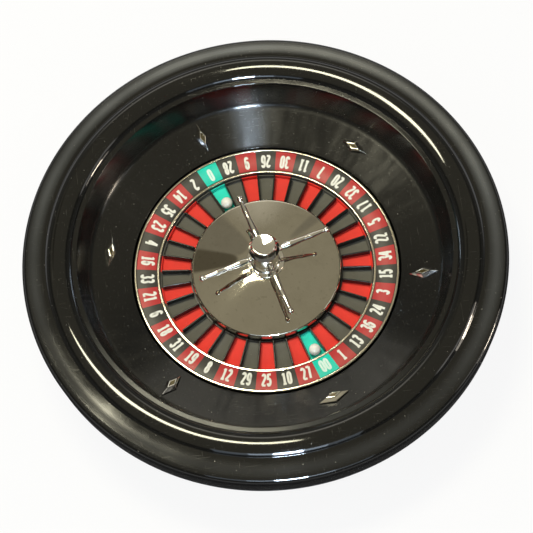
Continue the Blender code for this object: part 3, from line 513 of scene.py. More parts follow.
def glossy_plastic():
    """Polished black plastic: a hazed rim and ledge that carry a painted grey sheen, a dull ball track,
    running scratches, lint and dust.
    """
    # The second colour is the grey of the painted sheen, and the third is dust
    black, painted_sheen_grey, grey = (0.0060, 0.0060, 0.0058), (0.118, 0.124, 0.132), (0.42, 0.40, 0.36)
    finish, tree, shader = new_finish("gloss_black_plastic", black, 0.07, IOR=1.52)
    turning_grain(tree, shader, 1.0)
    radius, azimuth, height = polar(tree)

    # Painted sheen: grey painted into the colour on the far side of the rim and on the near side of the ledge
    # over the track, where reflected light would show. The same mask also roughens these places
    far_side = facing(tree, azimuth, 75.0)
    rim = times(tree, zone(tree, radius, 235.5, 246.0, 4.0), ramp(tree, far_side, -0.5, 0.9, 0.16, 1.0))
    ledge_painted_sheen = ramp(tree, far_side, -0.85, -0.5, 0.28, 0.0)
    ledge_painted_sheen = times(tree, zone(tree, radius, 196.6, 201.0, 0.5), ledge_painted_sheen)
    drift = ramp(tree, noise(tree, 9.0), 0.3, 0.65, 0.55, 1.0)
    dull = times(tree, maths(tree, "MAXIMUM", rim, ledge_painted_sheen), drift)

    dust = maths(tree, "MAXIMUM", specks(tree, 210.0, 0.075, 0.20), specks(tree, 95.0, 0.05, 0.25))
    lint = hairlines(tree, 900.0, 0.03, 0.31)
    dirt = maths(tree, "MAXIMUM", times(tree, dust, 0.4), times(tree, lint, 0.05))

    # The apron is rubbed in rays, with one wiped streak at the far side, and the track is worn dull
    rays = {"X": times(tree, azimuth, 16.0), "Y": times(tree, radius, 22.0)}
    rays = noise(tree, 1.0, 3.0, place=add(tree, "ShaderNodeCombineXYZ", rays))
    rays = ramp(tree, rays, 0.32, 0.68, 0.04, 0.11)
    outside, inside = math.cos(math.radians(13.0)), math.cos(math.radians(5.0))
    wiped = ramp(tree, facing(tree, azimuth, 89.0), outside, inside, 0.0, 0.11)
    apron = zone(tree, radius, 146.0, 184.0, 2.0)
    track = zone(tree, radius, 183.0, 194.0, 1.5)
    smudge = ramp(tree, noise(tree, 26.0, 4.0, 0.6), 0.35, 0.75, 0.05, 0.09)
    rough = maths(tree, "ADD", smudge, times(tree, apron, maths(tree, "ADD", wiped, rays)))
    for cause, amount in ((track, 0.10), (dull, 0.30), (dirt, 0.6)):
        rough = maths(tree, "MULTIPLY_ADD", cause, amount, rough)
    # The black takes the painted grey sheen (the dull mask), then dust and lint over it
    coat(tree, shader, mixed(tree, dirt, mixed(tree, dull, black, painted_sheen_grey), grey), rough)

    slant = maths(tree, "ADD", radius, times(tree, height, 0.7))
    running = turning_marks(tree, slant, 1400.0, 4.0, 0.7)
    worn = times(tree, running, zone(tree, radius, 146.0, 198.0, 2.0))
    raised(tree, shader, lint, 0.12, 0.02, raised(tree, shader, worn, 0.5, 0.02))
    return finish


def matt_plastic():
    """Black moulded plastic with a fine spark-eroded grain."""
    finish, tree, shader = new_finish("matt_black_plastic", (0.020, 0.020, 0.020), 0.55)
    grain = noise(tree, 2400.0)
    tint = mixed(tree, noise(tree, 22.0, 3.0), (0.015, 0.015, 0.015), (0.030, 0.029, 0.028))
    coat(tree, shader, tint, ramp(tree, grain, 0.3, 0.7, 0.46, 0.66))
    raised(tree, shader, grain, 0.35, 0.08)
    return finish


def printed(name, colour, deep, gloss, sheen=0.3):
    """Ink or paint with a satin skin: drifts of colour and gloss, a little dust, and a fine tooth."""
    finish, tree, shader = new_finish(name, colour, gloss, Specular_IOR_Level=sheen)
    cloud = noise(tree, 60.0, 4.0, 0.6)
    tint = mixed(tree, ramp(tree, cloud, 0.3, 0.7), deep, colour)
    tint = mixed(tree, times(tree, specks(tree, 260.0, 0.07, 0.12), 0.4), tint, (0.75, 0.72, 0.68))
    coat(tree, shader, tint, ramp(tree, cloud, 0.2, 0.8, gloss - 0.06, gloss + 0.1))
    raised(tree, shader, noise(tree, 1500.0), 0.10, 0.03)
    return finish


def bright_metal(name, colour, dull, roughness, spun=0.0, grime=0.35, haze=0.09):
    """Polished metal: turning marks round the axis where spun is set, smudges, and dull spots in places."""
    finish, tree, shader = new_finish(name, colour, roughness, 1.0)
    smudge = noise(tree, 45.0, 5.0, 0.62)
    spots = ramp(tree, noise(tree, 210.0), 0.62, 0.70)
    worn = times(tree, maths(tree, "MAXIMUM", ramp(tree, smudge, 0.45, 0.75), spots), grime)
    rough = ramp(tree, smudge, 0.3, 0.8, roughness, roughness + haze)
    coat(tree, shader, mixed(tree, worn, colour, dull), rough)
    if spun:
        turning_grain(tree, shader, 0.9)
        radius, _, height = polar(tree)
        marks = turning_marks(tree, maths(tree, "ADD", radius, height), 2600.0, 3.0)
        raised(tree, shader, marks, spun, 0.02)
    else:
        raised(tree, shader, noise(tree, 300.0), 0.03, 0.03)
    return finish


def brushed_steel():
    finish, tree, shader = new_finish("turned_steel", (0.56, 0.56, 0.57), 0.3, 1.0)
    radius, _, height = polar(tree)
    marks = turning_marks(tree, maths(tree, "ADD", radius, height), 3000.0, 2.0)
    tint = mixed(tree, marks, (0.46, 0.46, 0.47), (0.63, 0.63, 0.63))
    coat(tree, shader, tint, ramp(tree, marks, 0.2, 0.8, 0.22, 0.40))
    raised(tree, shader, marks, 0.2, 0.02)
    return finish


def soft_rubber():
    finish, tree, shader = new_finish("foot_rubber", (0.022, 0.022, 0.021), 0.8)
    grain = noise(tree, 1800.0, 3.0)
    scuff = ramp(tree, noise(tree, 130.0, 4.0), 0.5, 0.7)
    tint = mixed(tree, scuff, (0.018, 0.018, 0.018), (0.055, 0.053, 0.05))
    coat(tree, shader, tint, ramp(tree, grain, 0.3, 0.7, 0.7, 0.9))
    raised(tree, shader, grain, 0.3, 0.06)
    return finish


def ball_plastic():
    """White ball: a hard, slightly yellowed plastic with faint scuffs."""
    finish, tree, shader = new_finish("ivory_ball", (0.88, 0.87, 0.84), 0.16, IOR=1.5)
    scuff = hairlines(tree, 1300.0, 0.06, 0.33)
    tint = mixed(tree, noise(tree, 160.0, 3.0), (0.84, 0.83, 0.79), (0.91, 0.91, 0.89))
    coat(tree, shader, tint, maths(tree, "MULTIPLY_ADD", scuff, 0.25, 0.13))
    raised(tree, shader, scuff, 0.08, 0.02)
    return finish


# ---- bowl, base and what holds them


def make_bowl(finish):
    """The moulded bowl: rim band, flat shoulder, bead, ball track, apron and well, with its hidden back."""
    rim = arc(RIM_EDGE_CENTRE, RIM_EDGE_ROUND, 0.0, 90.0, 14)
    crest = arc(BEAD_CENTRE, BEAD_RADIUS, 47.0, 149.5, 30)
    face = eased([
        (252.78, 75.26), (252.9, 77.2), *rim, (239.2, 103.45, 60.0), (228.3, 104.55, 1.5), *crest,
        (200.93, 101.54, 0.2), (*LIP, 0.8), (*TRACK_CORNER, 10.0), (*WELL_EDGE, 0.8), (144.5, 26.0, 2.5),
        (4.2, 26.0),
    ], steps=8)
    back = eased([
        (4.2, 22.5), (148.0, 22.5, 2.0), (148.0, 46.87, 2.0), (190.89, 66.87, 8.0), (198.91, 99.01, 3.0),
        (215.75, 106.27, 9.0), (230.73, 100.74, 6.0), (244.34, 98.95, 4.0), (250.39, 92.9, 3.0),
        (249.29, 75.48),
    ], steps=4)
    return turned("bowl", face + back, 256, [finish])


def make_bosses(tree, finish):
    profile = eased([(1.8, 7.9), (4.8, 7.9, 0.3), (4.6, 22.6), (1.8, 22.6)], closed=True)
    blank = turned("boss", profile, 24, [finish], place=at_azimuth(0.0, SCREW_CIRCLE))
    return copies("bowl_bosses", tree, blank, 6, FIRST_SCREW, finish)


def make_base(finish):
    """The lower moulding, with its recessed screw holes and the holes that the feet push into."""
    outline = [
        (22.0, 4.6, 0.4), (60.0, 4.6), (60.6, 5.1), (62.4, 5.1), (63.0, 4.6), (171.98, 4.6, 9.0),
        (185.98, 12.0, 12.0), (252.78, 71.96, 1.2), (252.78, 74.96, 0.3), (249.78, 74.96, 0.3),
        (249.78, 73.3), (184.25, 14.48, 8.0), (171.23, 7.6, 6.0), (22.0, 7.6, 0.4),
    ]
    base = turned("base", eased(outline, closed=True), 192, [finish])
    recess = [(0.0, 2.0), (4.0, 2.0), (4.0, 6.7), (1.9, 6.7), (1.9, 9.0), (0.0, 9.0)]
    foot_hole = [(0.0, 2.0), (3.3, 2.0), (3.3, 9.0), (0.0, 9.0)]
    holes = bmesh.new()
    for profile, circle, first, count in (
        (recess, SCREW_CIRCLE, FIRST_SCREW, 6),
        (foot_hole, FOOT_CIRCLE, FIRST_FOOT, 4),
    ):
        for number in range(count):
            turn_skin(holes, profile, 24, place=at_azimuth(first + 360.0 / count * number, circle))
    return cut(base, new_piece("holes", holes, []))


def make_screws(tree, finish):
    """Cross-head screws, seen from below in the base's recesses."""
    head = turned("screw", eased([
        (0.0, 4.65), (2.6, 4.75), (3.6, 5.3, 0.5), (3.6, 6.4, 0.2), (1.5, 6.4), (1.5, 17.4), (0.6, 18.4),
        (0.0, 18.4),
    ]), 28, [finish])
    outline = []
    for cosine, sine in ((1, 0), (0, 1), (-1, 0), (0, -1)):
        for x, y in ((1.8, -0.35), (1.8, 0.35), (0.35, 0.35)):
            outline.append((x * cosine - y * sine, x * sine + y * cosine))
    cross = stacked("cross", [[(*point, height) for point in outline] for height in (3.4, 5.8)], [])
    blank = cut(head, cross)
    blank.data.transform(at_azimuth(0.0, SCREW_CIRCLE * MM))
    return copies("base_screws", tree, blank, 6, FIRST_SCREW, finish)


def make_feet(tree, finish):
    """Rubber feet, each with a neck and a barb that hold it in its hole."""
    profile = eased([
        (0.0, 0.35), (3.2, 0.35), (3.7, 0.0, 0.2), (8.8, 0.0, 0.9), (10.0, 4.3, 0.7), (3.0, 4.3), (3.0, 7.9),
        (4.2, 7.9, 0.4), (2.4, 11.0, 0.8), (0.0, 12.1),
    ])
    blank = turned("foot", profile, 48, [finish], place=at_azimuth(0.0, FOOT_CIRCLE))
    return copies("rubber_feet", tree, blank, 4, FIRST_FOOT, finish)


def rhomb(name, levels, place, finish):
    """A body of rhombs stacked up from (length, width, height)."""
    rings = []
    for length, width, height in levels:
        corners = ((length / 2, 0.0), (0.0, width / 2), (-length / 2, 0.0), (0.0, -width / 2))
        rings.append([(x, y, height) for x, y in corners])
    return stacked(name, rings, [finish], place, 20.0)


def make_diamonds(tree, finish, dark):
    """Ball deflectors: rhombs with a ridge round a sunk dark plate, along and across the apron in turn."""
    made = []
    seat = WELL_EDGE[1] + (DEFLECTOR_CIRCLE - WELL_EDGE[0]) * math.tan(math.radians(APRON_SLOPE))
    tilt = Matrix.Rotation(-math.radians(APRON_SLOPE), 4, "Y")
    lie = Matrix.Translation((DEFLECTOR_CIRCLE, 0.0, seat)) @ tilt @ Matrix.Translation((0.0, 0.0, 0.9))
    body = [
        (34.0, 12.8, 0.0), (34.0, 12.8, 0.6), (18.6, 7.6, 3.6), (16.6, 6.6, 4.6), (12.6, 4.9, 4.6),
        (11.6, 4.4, 3.7),
    ]
    for across, first in ((0.0, FIRST_DEFLECTOR), (90.0, FIRST_DEFLECTOR + 60.0)):
        place = lie @ Matrix.Rotation(math.radians(across), 4, "Z")
        blank = bevelled(rhomb("diamond", body, place, finish), 0.36, 4)
        made.append(copies("diamonds", tree, blank, 3, first, finish))
        plate = bevelled(rhomb("plate", [(11.4, 4.3, 3.2), (11.4, 4.3, 3.95)], place, dark), 0.1, 2)
        made.append(copies("plates", tree, plate, 3, first, dark))
    return joined("deflectors", made, 6.0)


# ---- rotor


def cell_colour(cell):
    """0 for red, 1 for black, 2 for green. Cells are counted clockwise from 0."""
    return 2 if NUMBERS[cell] in ("0", "00") else cell % 2


def colour_at(azimuth):
    return cell_colour(round((ZERO_AZIMUTH - azimuth) / PITCH) % CELL_COUNT)


def cell_ring(name, corners, steps, finishes):
    """A turned ring on which each cell has its own colour."""
    profile = eased(corners, steps, closed=True)
    return turned(name, profile, CELL_COUNT * 6, finishes, colour_at, ZERO_AZIMUTH + PITCH / 2)


def ring_height(radius):
    share = (radius - RING_INNER) / (RING_OUTER - RING_INNER)
    return RING_INNER_HEIGHT + (RING_OUTER_HEIGHT - RING_INNER_HEIGHT) * share


def make_number_ring(finishes):
    return cell_ring("printed_ring", [
        (RING_INNER, RING_INNER_HEIGHT - RING_THICKNESS), (RING_OUTER, RING_OUTER_HEIGHT - RING_THICKNESS),
        (RING_OUTER, RING_OUTER_HEIGHT, 0.15), (RING_INNER, RING_INNER_HEIGHT, 0.15),
    ], 2, finishes)


def make_pockets(finishes):
    """Coloured cups between the separators: a floor that curves up into the low wall at its outer end."""
    top, under, wall = FLOOR_HEIGHT + 5.0, FLOOR_HEIGHT - 1.2, POCKET_OUTER + 1.2
    return cell_ring("pocket_cups", [
        (POCKET_INNER, under), (wall, under), (wall, top, 0.4),
        (POCKET_OUTER, top, 0.4), (POCKET_OUTER, FLOOR_HEIGHT, 0.9), (POCKET_INNER, FLOOR_HEIGHT),
    ], 4, finishes)


def make_outer_trim(finish):
    corners = [(139.6, 47.4), (142.3, 47.4, 0.3), (142.3, 50.0, 1.1), (139.6, 50.0, 0.7)]
    return turned("outer_trim", eased(corners, 6, closed=True), 256, [finish])


def make_inner_trim(finish):
    corners = [(115.3, 44.25), (118.0, 44.6), (118.0, 45.8, 0.5), (115.3, 45.8, 0.8)]
    return turned("inner_trim", eased(corners, 5, closed=True), 228, [finish])


def make_separators(finish):
    """The ring of separators, with its tree's inputs in metres and radians."""
    return shade(grown("separators", separator_tree(), {
        "Count": CELL_COUNT, "First azimuth": math.radians(ZERO_AZIMUTH + PITCH / 2),
        "Inner radius": 0.0819, "Outer radius": 0.1128, "Foot": 0.0363,
        "Bar height": 0.0078, "Bar thickness": 0.0016, "Edge round": 0.0006, "End slope": 0.0018,
        "Hoop radius": 0.0819, "Hoop thickness": 0.0012, "Hoop height": 0.0026, "Hoop steps": 228,
        "Finish": finish,
    }))


def make_dish(finish):
    """The spun cone over the middle of the rotor: flat by the column, steeper outwards, its edge rolled."""
    inner, outer, steepest, roll = 17.0, 76.0, 14.0, 3.5
    dome = [(inner, 63.65)]
    while dome[-1][0] < outer:
        radius, height = dome[-1]
        slope = steepest - 9.5 * math.exp((inner - radius) / 8.0)
        dome.append((radius + 2.0, height - 2.0 * math.tan(math.radians(slope))))
    radius, height = dome[-1]
    lean = math.radians(steepest)
    reach = DISH_EDGE - roll + roll * math.sin(lean) - radius
    centre = (DISH_EDGE - roll, height - reach * math.tan(lean) - roll * math.cos(lean))
    edge = arc(centre, roll, 0.0, 90.0 - steepest, 14)
    face = [(DISH_EDGE, 34.8)] + edge + dome[::-1] + [(14.0, 63.7), (4.3, 63.7)]
    back = [(4.3, 62.7), (17.0, 62.65), (77.0, 49.2), (79.0, 48.2), (79.7, 46.8), (79.7, 34.8)]
    return turned("spun_dish", face + back, 256, [finish])


def make_column(finish):
    foot = COLUMN_FOOT
    flange = foot + 1.6
    profile = eased([
        (0.0, foot - 7.9), (4.0, foot - 7.9), (4.0, foot), (20.3, foot, 0.2), (20.3, flange, 0.7),
        (COLUMN_RADIUS, flange, 1.8), (COLUMN_RADIUS, 95.0, 0.7), (0.0, 95.0),
    ], steps=6)
    return turned("column", profile, 128, [finish])


def make_cap(finish):
    """The finial: a collar that flares up to a neck, and a round edge about a shallow hollow cone."""
    profile = eased([
        (0.0, 90.3), (3.5, 90.3, 0.3), (3.5, 95.3), (16.2, 95.3, 0.6), (16.2, 96.7, 0.5), (13.8, 99.7, 3.0),
        (11.4, 104.2, 0.6), (11.9, 104.3),
    ], steps=6) + arc((11.4, 105.3), 1.1, -62.0, 98.0, 12) + [(10.6, 106.3), (1.0, 105.29), (0.0, 105.19)]
    return turned("finial", profile, 128, [finish])


def make_arms(tree, finish):
    """Four turned arms, each with a collar, two long swellings and a ball at its tip."""
    shape = [
        (0.0, -5.5), (1.9, -5.5, 0.2), (1.9, 0.0), (3.6, 0.0, 0.4), (3.6, 2.4, 0.5), (2.8, 4.1, 1.2),
        (4.0, 13.5, 16.0), (2.7, 29.1, 26.0), (3.1, 39.5, 22.0), (2.1, 51.2, 2.5),
    ]
    tip = arc((0.0, 55.4), 3.4, -50.0, 90.0, 14)[:-1] + [(0.0, 58.8)]
    lie = Matrix.Translation((ARM_START, 0.0, ARM_HEIGHT)) @ Matrix.Rotation(math.radians(90.0), 4, "Y")
    blank = turned("arm", eased(shape + tip, steps=8), 40, [finish], place=lie)
    return copies("turret_arms", tree, blank, 4, FIRST_ARM, finish)


def make_ball(name, azimuth, radius, lean, finish):
    """A ball with the hair-fine line where its two moulded halves meet, 0.3 over the pocket's floor."""
    size, seam = BALL_RADIUS, 1.2
    lower = arc((0.0, 0.0), size, -90.0, -seam, 24)
    upper = arc((0.0, 0.0), size, seam, 90.0, 24)
    profile = [(0.0, -size)] + lower[1:] + [(size - 0.035, 0.0)] + upper[:-1] + [(0.0, size)]
    tip = Matrix.Rotation(math.radians(lean), 4, "X")
    place = at_azimuth(azimuth, radius, FLOOR_HEIGHT + 0.3 + size) @ tip
    return turned(name, profile, 64, [finish], place=place, sharp=60.0)


# ---- figures


def figure_strokes():
    """Each figure in a box of 1 by 1, as strokes of (points, whether they close on themselves)."""
    foot = bend(0.5, 0.22, 0.5, 0.22, 180, 360)
    loops = {
        "0": [bend(0.5, 0.78, 0.5, 0.22, 0, 180) + foot],
        "6": [bend(0.5, 0.40, 0.5, 0.20, 0, 180) + foot],
        "8": [bend(0.5, 0.77, 0.46, 0.23, 0, 360, 20)[:-1], bend(0.5, 0.26, 0.5, 0.27, 0, 360, 20)[:-1]],
    }
    lines = {
        "1": [[(0.52, 0.0), (0.52, 1.0)], [(0.60, 0.98), (0.02, 0.80)], [(-0.1, 0.0), (1.1, 0.0)]],
        "2": [bend(0.5, 0.77, 0.5, 0.23, 165, -35) + [(0.05, 0.14), (0.0, 0.0)], [(-0.15, 0.0), (1.1, 0.0)]],
        "3": [bend(0.48, 0.77, 0.47, 0.23, 160, -85), bend(0.46, 0.26, 0.52, 0.27, 90, -165)],
        "4": [[(0.80, -0.08), (0.80, 1.0)], [(0.80, 1.0), (-0.22, 0.30)], [(-0.42, 0.27), (1.3, 0.27)]],
        "5": [
            [(1.05, 1.0), (0.05, 1.0)], [(0.06, 1.06), (0.04, 0.50)],
            [(0.04, 0.54)] + bend(0.44, 0.30, 0.54, 0.31, 110, -160),
        ],
        "6": [[(0.0, 0.3)] + bend(0.5, 0.76, 0.5, 0.24, 180, 18)],
        "7": [[(-0.1, 1.0), (1.1, 1.0)], [(1.02, 1.0), (0.86, 0.62), (0.40, -0.06)]],
    }
    strokes = {}
    for sign in "012345678":
        strokes[sign] = [(points, True) for points in loops.get(sign, ())]
        strokes[sign] += [(points, False) for points in lines.get(sign, ())]
    strokes["9"] = [([(1 - x, 1 - y) for x, y in points], closed) for points, closed in strokes["6"]]
    return strokes


def stroke_edges(points, width, closed):
    """The two edges of a stroke of even width."""
    left, right = [], []
    count = len(points)
    for index, point in enumerate(points):
        here = Vector(point)
        back = Vector(points[index - 1]) if closed or index else here
        ahead = Vector(points[(index + 1) % count]) if closed or index + 1 < count else here
        before = (here - back) if (here - back).length > 1e-6 else (ahead - here)
        after = (ahead - here) if (ahead - here).length > 1e-6 else before
        before, after = before.normalized(), after.normalized()
        side = Vector((-before.y, before.x))
        mitre = side + Vector((-after.y, after.x))
        mitre.normalize()
        reach = width / 2 / max(mitre.dot(side), 0.55)
        left.append(here + mitre * reach)
        right.append(here - mitre * reach)
    return left, right


def make_figures(white, cool):
    """Raised figures on the printed ring, read from outside the wheel with their heads towards the turret."""
    strokes = figure_strokes()
    skin = bmesh.new()
    for cell, number in enumerate(NUMBERS):
        azimuth = math.radians(ZERO_AZIMUTH - PITCH * cell)
        out = Vector((math.cos(azimuth), math.sin(azimuth)))
        side = Vector((-out.y, out.x))
        ink = 1 if cell_colour(cell) == 2 else 0
        for place, sign in enumerate(number):
            middle = FIGURE_STEP * (place - (len(number) - 1) / 2)
            for points, closed in strokes[sign]:
                sized = [((x - 0.5) * FIGURE_WIDTH, (y - 0.5) * FIGURE_RISE) for x, y in points]
                left, right = stroke_edges(sized, FIGURE_STROKE, closed)
                lines = []
                for edge, rise in ((left, 0.09), (right, 0.09), (right, -0.1), (left, -0.1)):
                    flat = [out * (FIGURE_CIRCLE - point.y) + side * (middle + point.x) for point in edge]
                    lines.append([skin.verts.new((*spot, ring_height(spot.length) + rise)) for spot in flat])
                count = len(sized)
                for index in range(count if closed else count - 1):
                    ahead = (index + 1) % count
                    for one, next_one in zip(lines, lines[1:] + lines[:1]):
                        face = skin.faces.new((one[index], next_one[index], next_one[ahead], one[ahead]))
                        face.material_index = ink
                for end in () if closed else (0, count - 1):
                    skin.faces.new([line[end] for line in lines]).material_index = ink
    return new_piece("figures", skin, [white, cool], 40.0)


# ---- room, light and camera


def sight(tree):
    """A socket that is 1 in the camera's straight view, and one that is 1 in a mirrored or refracted view."""
    path = add(tree, "ShaderNodeLightPath").node.outputs
    return path["Is Camera Ray"], maths(tree, "MAXIMUM", path["Is Glossy Ray"], path["Is Transmission Ray"])


def make_floor():
    """A pale floor that takes the wheel's shadow: near white to the camera, and in reflections dimmed by a
    painted shade by the wheel that lightens farther off."""
    mesh = bpy.data.meshes.new("floor")
    skin = bmesh.new()
    bmesh.ops.create_grid(skin, x_segments=4, y_segments=4, size=6.0)
    skin.to_mesh(mesh)
    skin.free()
    paper = bpy.data.materials.new("pale_paper")
    paper.use_nodes = True
    tree = paper.node_tree
    tree.nodes.clear()
    tone = mixed(tree, noise(tree, 3.0, 3.0), (0.80, 0.80, 0.79), (0.84, 0.84, 0.84))
    matt = add(tree, "ShaderNodeBsdfDiffuse", {"Color": tone})
    direct, mirrored = sight(tree)
    # In reflections the floor's white carries a painted shade: dim near the wheel, brighter farther off and
    # on the far side
    painted_shade_near_wheel = ramp(tree, polar(tree)[0], 0.34, 1.5, 0.05, 0.9)
    beyond = ramp(tree, axes_of(tree, object_place(tree))["Y"], 0.2, 0.5, 0.0, 0.38)
    level = add(tree, "ShaderNodeMix", {0: direct, 2: maths(tree, "MAXIMUM", painted_shade_near_wheel, beyond), 3: 1.0})
    white = add(tree, "ShaderNodeEmission", {"Color": (1.0, 1.0, 1.0, 1.0), "Strength": level})
    share = maths(tree, "MAXIMUM", times(tree, direct, 0.90), mirrored)
    both = add(tree, "ShaderNodeMixShader", {0: share, 1: matt, 2: white})
    add(tree, "ShaderNodeOutputMaterial", {"Surface": both})
    mesh.materials.append(paper)
    placed("floor", mesh)


def way(azimuth, elevation):
    turn, rise = math.radians(azimuth), math.radians(elevation)
    return Vector((math.cos(turn) * math.cos(rise), math.sin(turn) * math.cos(rise), math.sin(rise)))


def patch(tree, direction, azimuth, elevation, inner, outer):
    """1 within the inner angle of a direction and 0 past the outer one, in degrees."""
    aim = {0: direction, 1: way(azimuth, elevation)}
    near = add(tree, "ShaderNodeVectorMath", aim, "Value", operation="DOT_PRODUCT")
    return ramp(tree, near, math.cos(math.radians(outer)), math.cos(math.radians(inner)))


def make_room():
    """White to the camera. Reflections show a white horizon, grey walls with a dark band that is bright on
    the far side, a warm ceiling that is darker in three places, and three white patches low on the right."""
    world = bpy.data.worlds.new("room")
    bpy.context.scene.world = world
    world.use_nodes = True
    tree = world.node_tree
    tree.nodes.clear()
    direction = add(tree, "ShaderNodeTexCoord", out="Generated")
    _, depth, rise = axes_of(tree, direction)
    far = ramp(tree, depth, 0.30, 0.80)
    walls = mixed(tree, far, (0.13, 0.125, 0.112), (0.20, 0.195, 0.17))
    band = times(tree, ramp(tree, rise, 0.34, 0.40), ramp(tree, rise, 0.62, 0.68, 1.0, 0.0))
    walls = mixed(tree, times(tree, band, maths(tree, "SUBTRACT", 1.0, far)), walls, (0.035, 0.033, 0.03))
    walls = mixed(tree, ramp(tree, rise, 0.0, 0.06), (0.9, 0.9, 0.9), walls)
    bright = times(tree, ramp(tree, depth, 0.76, 0.86), ramp(tree, rise, 0.36, 0.42))
    walls = mixed(tree, bright, walls, (2.4, 2.3, 2.0))
    ceiling = mixed(tree, ramp(tree, rise, 0.50, 0.61), walls, (0.35, 0.32, 0.235))
    shaded, pale = (0.25, 0.23, 0.175), (2.0, 1.95, 1.85)
    for azimuth, elevation, inner, outer, colour in (
        (117.0, 41.5, 8.0, 10.0, shaded), (64.0, 41.0, 1.2, 2.6, shaded),
        (132.0, 48.0, 4.5, 6.0, (0.12, 0.105, 0.072)),
        (339.0, 31.0, 3.5, 5.5, pale), (347.0, 27.5, 3.5, 5.5, pale), (355.0, 24.0, 3.5, 5.5, pale),
    ):
        ceiling = mixed(tree, patch(tree, direction, azimuth, elevation, inner, outer), ceiling, colour)
    direct, mirrored = sight(tree)
    soft = mixed(tree, mirrored, (0.34, 0.338, 0.325), ceiling)
    shown = mixed(tree, direct, soft, (1.0, 1.0, 1.0))
    light = add(tree, "ShaderNodeBackground", {"Color": shown, "Strength": 1.0})
    add(tree, "ShaderNodeOutputWorld", {"Surface": light})


def towards(azimuth, elevation, distance):
    """The place of a lamp that faces the wheel and is seen from it in a direction, in degrees and metres."""
    out = way(azimuth, elevation)
    aim = out.to_track_quat("Z", "Y").to_matrix().to_4x4()
    return Matrix.Translation(out * distance + Vector((0.0, 0.0, 0.06))) @ aim


def lamp(name, place, size, radiance, colour):
    """An area lamp, with its size in metres."""
    data = bpy.data.lights.new(name, "AREA")
    data.shape = "RECTANGLE"
    data.size, data.size_y = size
    data.energy = radiance * math.pi * size[0] * size[1]
    data.color = colour
    made = placed(name, data)
    made.matrix_world = place
    return made


def make_lamps():
    """A broad ceiling fitting, a soft fill, and a window on the near side and a small warm lamp on the right,
    both with a dimmer glow behind them."""
    overhead = Matrix.Translation((-0.35, 0.48, 2.02)) @ Matrix.Rotation(math.radians(6.0), 4, "Z")
    lamp("ceiling_fitting", overhead, (0.74, 0.42), 31.0, (1.0, 0.95, 0.70))
    sky = (0.68, 0.83, 1.0)
    panes = lamp("window", towards(270.0, 31.0, 1.15), (0.18, 0.10), 380.0, sky)
    lamp("window_veil", towards(270.0, 31.0, 1.152), (0.50, 0.16), 5.0, sky)
    lamp("window_wall", towards(270.0, 31.0, 1.154), (1.0, 0.24), 1.4, sky)
    bulb = lamp("side_lamp", towards(348.0, 14.5, 1.72), (0.24, 0.10), 60.0, (1.0, 0.86, 0.68))
    lamp("side_shade", towards(348.0, 14.5, 1.722), (0.50, 0.15), 6.0, (1.0, 0.90, 0.76))
    fill = lamp("soft_fill", towards(200.0, 48.0, 2.6), (1.5, 1.5), 0.9, (1.0, 0.98, 0.95))
    panes.visible_diffuse = bulb.visible_diffuse = False
    fill.visible_glossy = False


def place_camera():
    """The photo's viewpoint, with distances in metres."""
    data = bpy.data.cameras.new("viewpoint")
    data.sensor_width = 36.0
    data.lens = 100.14
    data.shift_x = 0.0008
    data.shift_y = -0.0006
    data.clip_end = 50.0
    elevation, roll = math.radians(66.17), math.radians(6.82)
    distance, aim = 1.5889, Vector((0.0, 0.0, 0.05005))
    level_up = Vector((0.0, math.sin(elevation), math.cos(elevation)))
    back = Vector((0.0, -math.cos(elevation), math.sin(elevation)))
    right = Vector((math.cos(roll), 0.0, 0.0)) - level_up * math.sin(roll)
    up = Vector((math.sin(roll), 0.0, 0.0)) + level_up * math.cos(roll)
    turn = Matrix((right, up, back)).transposed().to_4x4()
    camera = placed("viewpoint", data)
    camera.matrix_world = Matrix.Translation(aim + back * distance) @ turn
    bpy.context.scene.camera = camera


# ---- putting it together


def numbered(stem, count):
    return [f"{stem}_{number}" for number in range(1, count + 1)]


def settle(body, *pieces):
    """Rides pieces on their body. Each is (piece, its slot, the CAD nodes that it stands for); the slot is
    not used.
    """
    for piece, slot, *nodes in pieces:
        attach(piece, body)
        if nodes:
            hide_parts(*nodes)


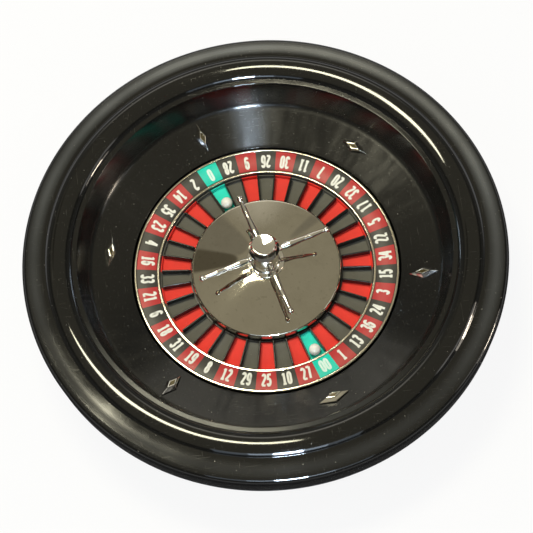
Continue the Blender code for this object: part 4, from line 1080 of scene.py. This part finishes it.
def main():
    place_camera()
    make_floor()
    make_room()
    make_lamps()

    gloss = glossy_plastic()
    matt = matt_plastic()
    steel = brushed_steel()
    plate = bright_metal("bright_plate", (0.82, 0.80, 0.76), (0.50, 0.47, 0.42), 0.035)
    trim = bright_metal("trim_plate", (0.62, 0.58, 0.50), (0.40, 0.37, 0.31), 0.09, grime=0.4)
    spun = bright_metal("spun_plate", (0.57, 0.54, 0.47), (0.40, 0.37, 0.30), 0.035, spun=0.03, haze=0.03)
    # A dark metal for the sunk plates in the deflectors
    dark_inset = bright_metal("aged_plate", (0.20, 0.17, 0.09), (0.09, 0.08, 0.05), 0.22, grime=0.5)
    rubber = soft_rubber()
    ivory = ball_plastic()
    ring_inks = [
        printed("ring_red", (0.50, 0.034, 0.036), (0.43, 0.028, 0.030), 0.4),
        printed("ring_black", (0.046, 0.044, 0.039), (0.035, 0.033, 0.030), 0.4),
        printed("ring_green", (0.0, 0.66, 0.53), (0.0, 0.58, 0.46), 0.4),
    ]
    cup_paints = [
        printed("cup_red", (0.86, 0.048, 0.034), (0.78, 0.038, 0.028), 0.5, 0.14),
        printed("cup_black", (0.125, 0.122, 0.104), (0.100, 0.096, 0.082), 0.5, 0.14),
        printed("cup_green", (0.03, 0.84, 0.70), (0.02, 0.76, 0.62), 0.5, 0.14),
    ]
    bar_black = printed("separator_black", (0.012, 0.012, 0.012), (0.008, 0.008, 0.008), 0.22)
    white = printed("figure_white", (0.84, 0.84, 0.81), (0.74, 0.74, 0.70), 0.42)
    cool = printed("figure_pale", (0.74, 0.92, 0.88), (0.62, 0.84, 0.80), 0.42)

    tree = round_the_axis_tree()
    settle(
        "bowl",
        (make_bowl(gloss), "gloss_black", "bowl_shell"),
        (make_bosses(tree, gloss), "gloss_black"),
        (make_base(matt), "matt_black", "base_shell"),
        (make_screws(tree, steel), "plain_steel", *numbered("base_screw", 6)),
        (make_feet(tree, rubber), "foot_rubber", *numbered("foot", 4)),
        (make_diamonds(tree, plate, dark_inset), "bright_plate", *numbered("deflector", 6)),
    )
    settle(
        "rotor",
        (make_number_ring(ring_inks), "printed_ring", "number_ring"),
        (make_figures(white, cool), "printed_ring"),
        (make_pockets(cup_paints), "pocket_colours", "pocket_ring"),
        (make_outer_trim(trim), "bright_plate", "outer_trim_ring"),
        (make_inner_trim(trim), "bright_plate", "inner_trim_ring"),
        (make_separators(bar_black), "separator_black", "fret_ring"),
        (make_dish(spun), "bright_plate", "cone_dish"),
        (make_column(plate), "bright_plate", "turret_column"),
        (make_cap(plate), "bright_plate", "turret_cap"),
        (make_arms(tree, plate), "bright_plate", *numbered("turret_arm", 4)),
    )
    near_hoop = make_ball("ball_near_hoop", ZERO_AZIMUTH, 91.2, 25.0, ivory)
    by_wall = make_ball("ball_by_wall", ZERO_AZIMUTH + 180.0, 106.3, 65.0, ivory)
    settle("ball_a", (near_hoop, "ivory_ball", "ball_a"))
    settle("ball_b", (by_wall, "ivory_ball", "ball_b"))

    # The CAD nodes that no piece stands for stay in the scene
    for name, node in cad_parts.items():
        for place in node.material_slots:
            place.material = matt if name == "rotor_pan" else steel

    bpy.context.scene.view_settings.view_transform = "Standard"


main()
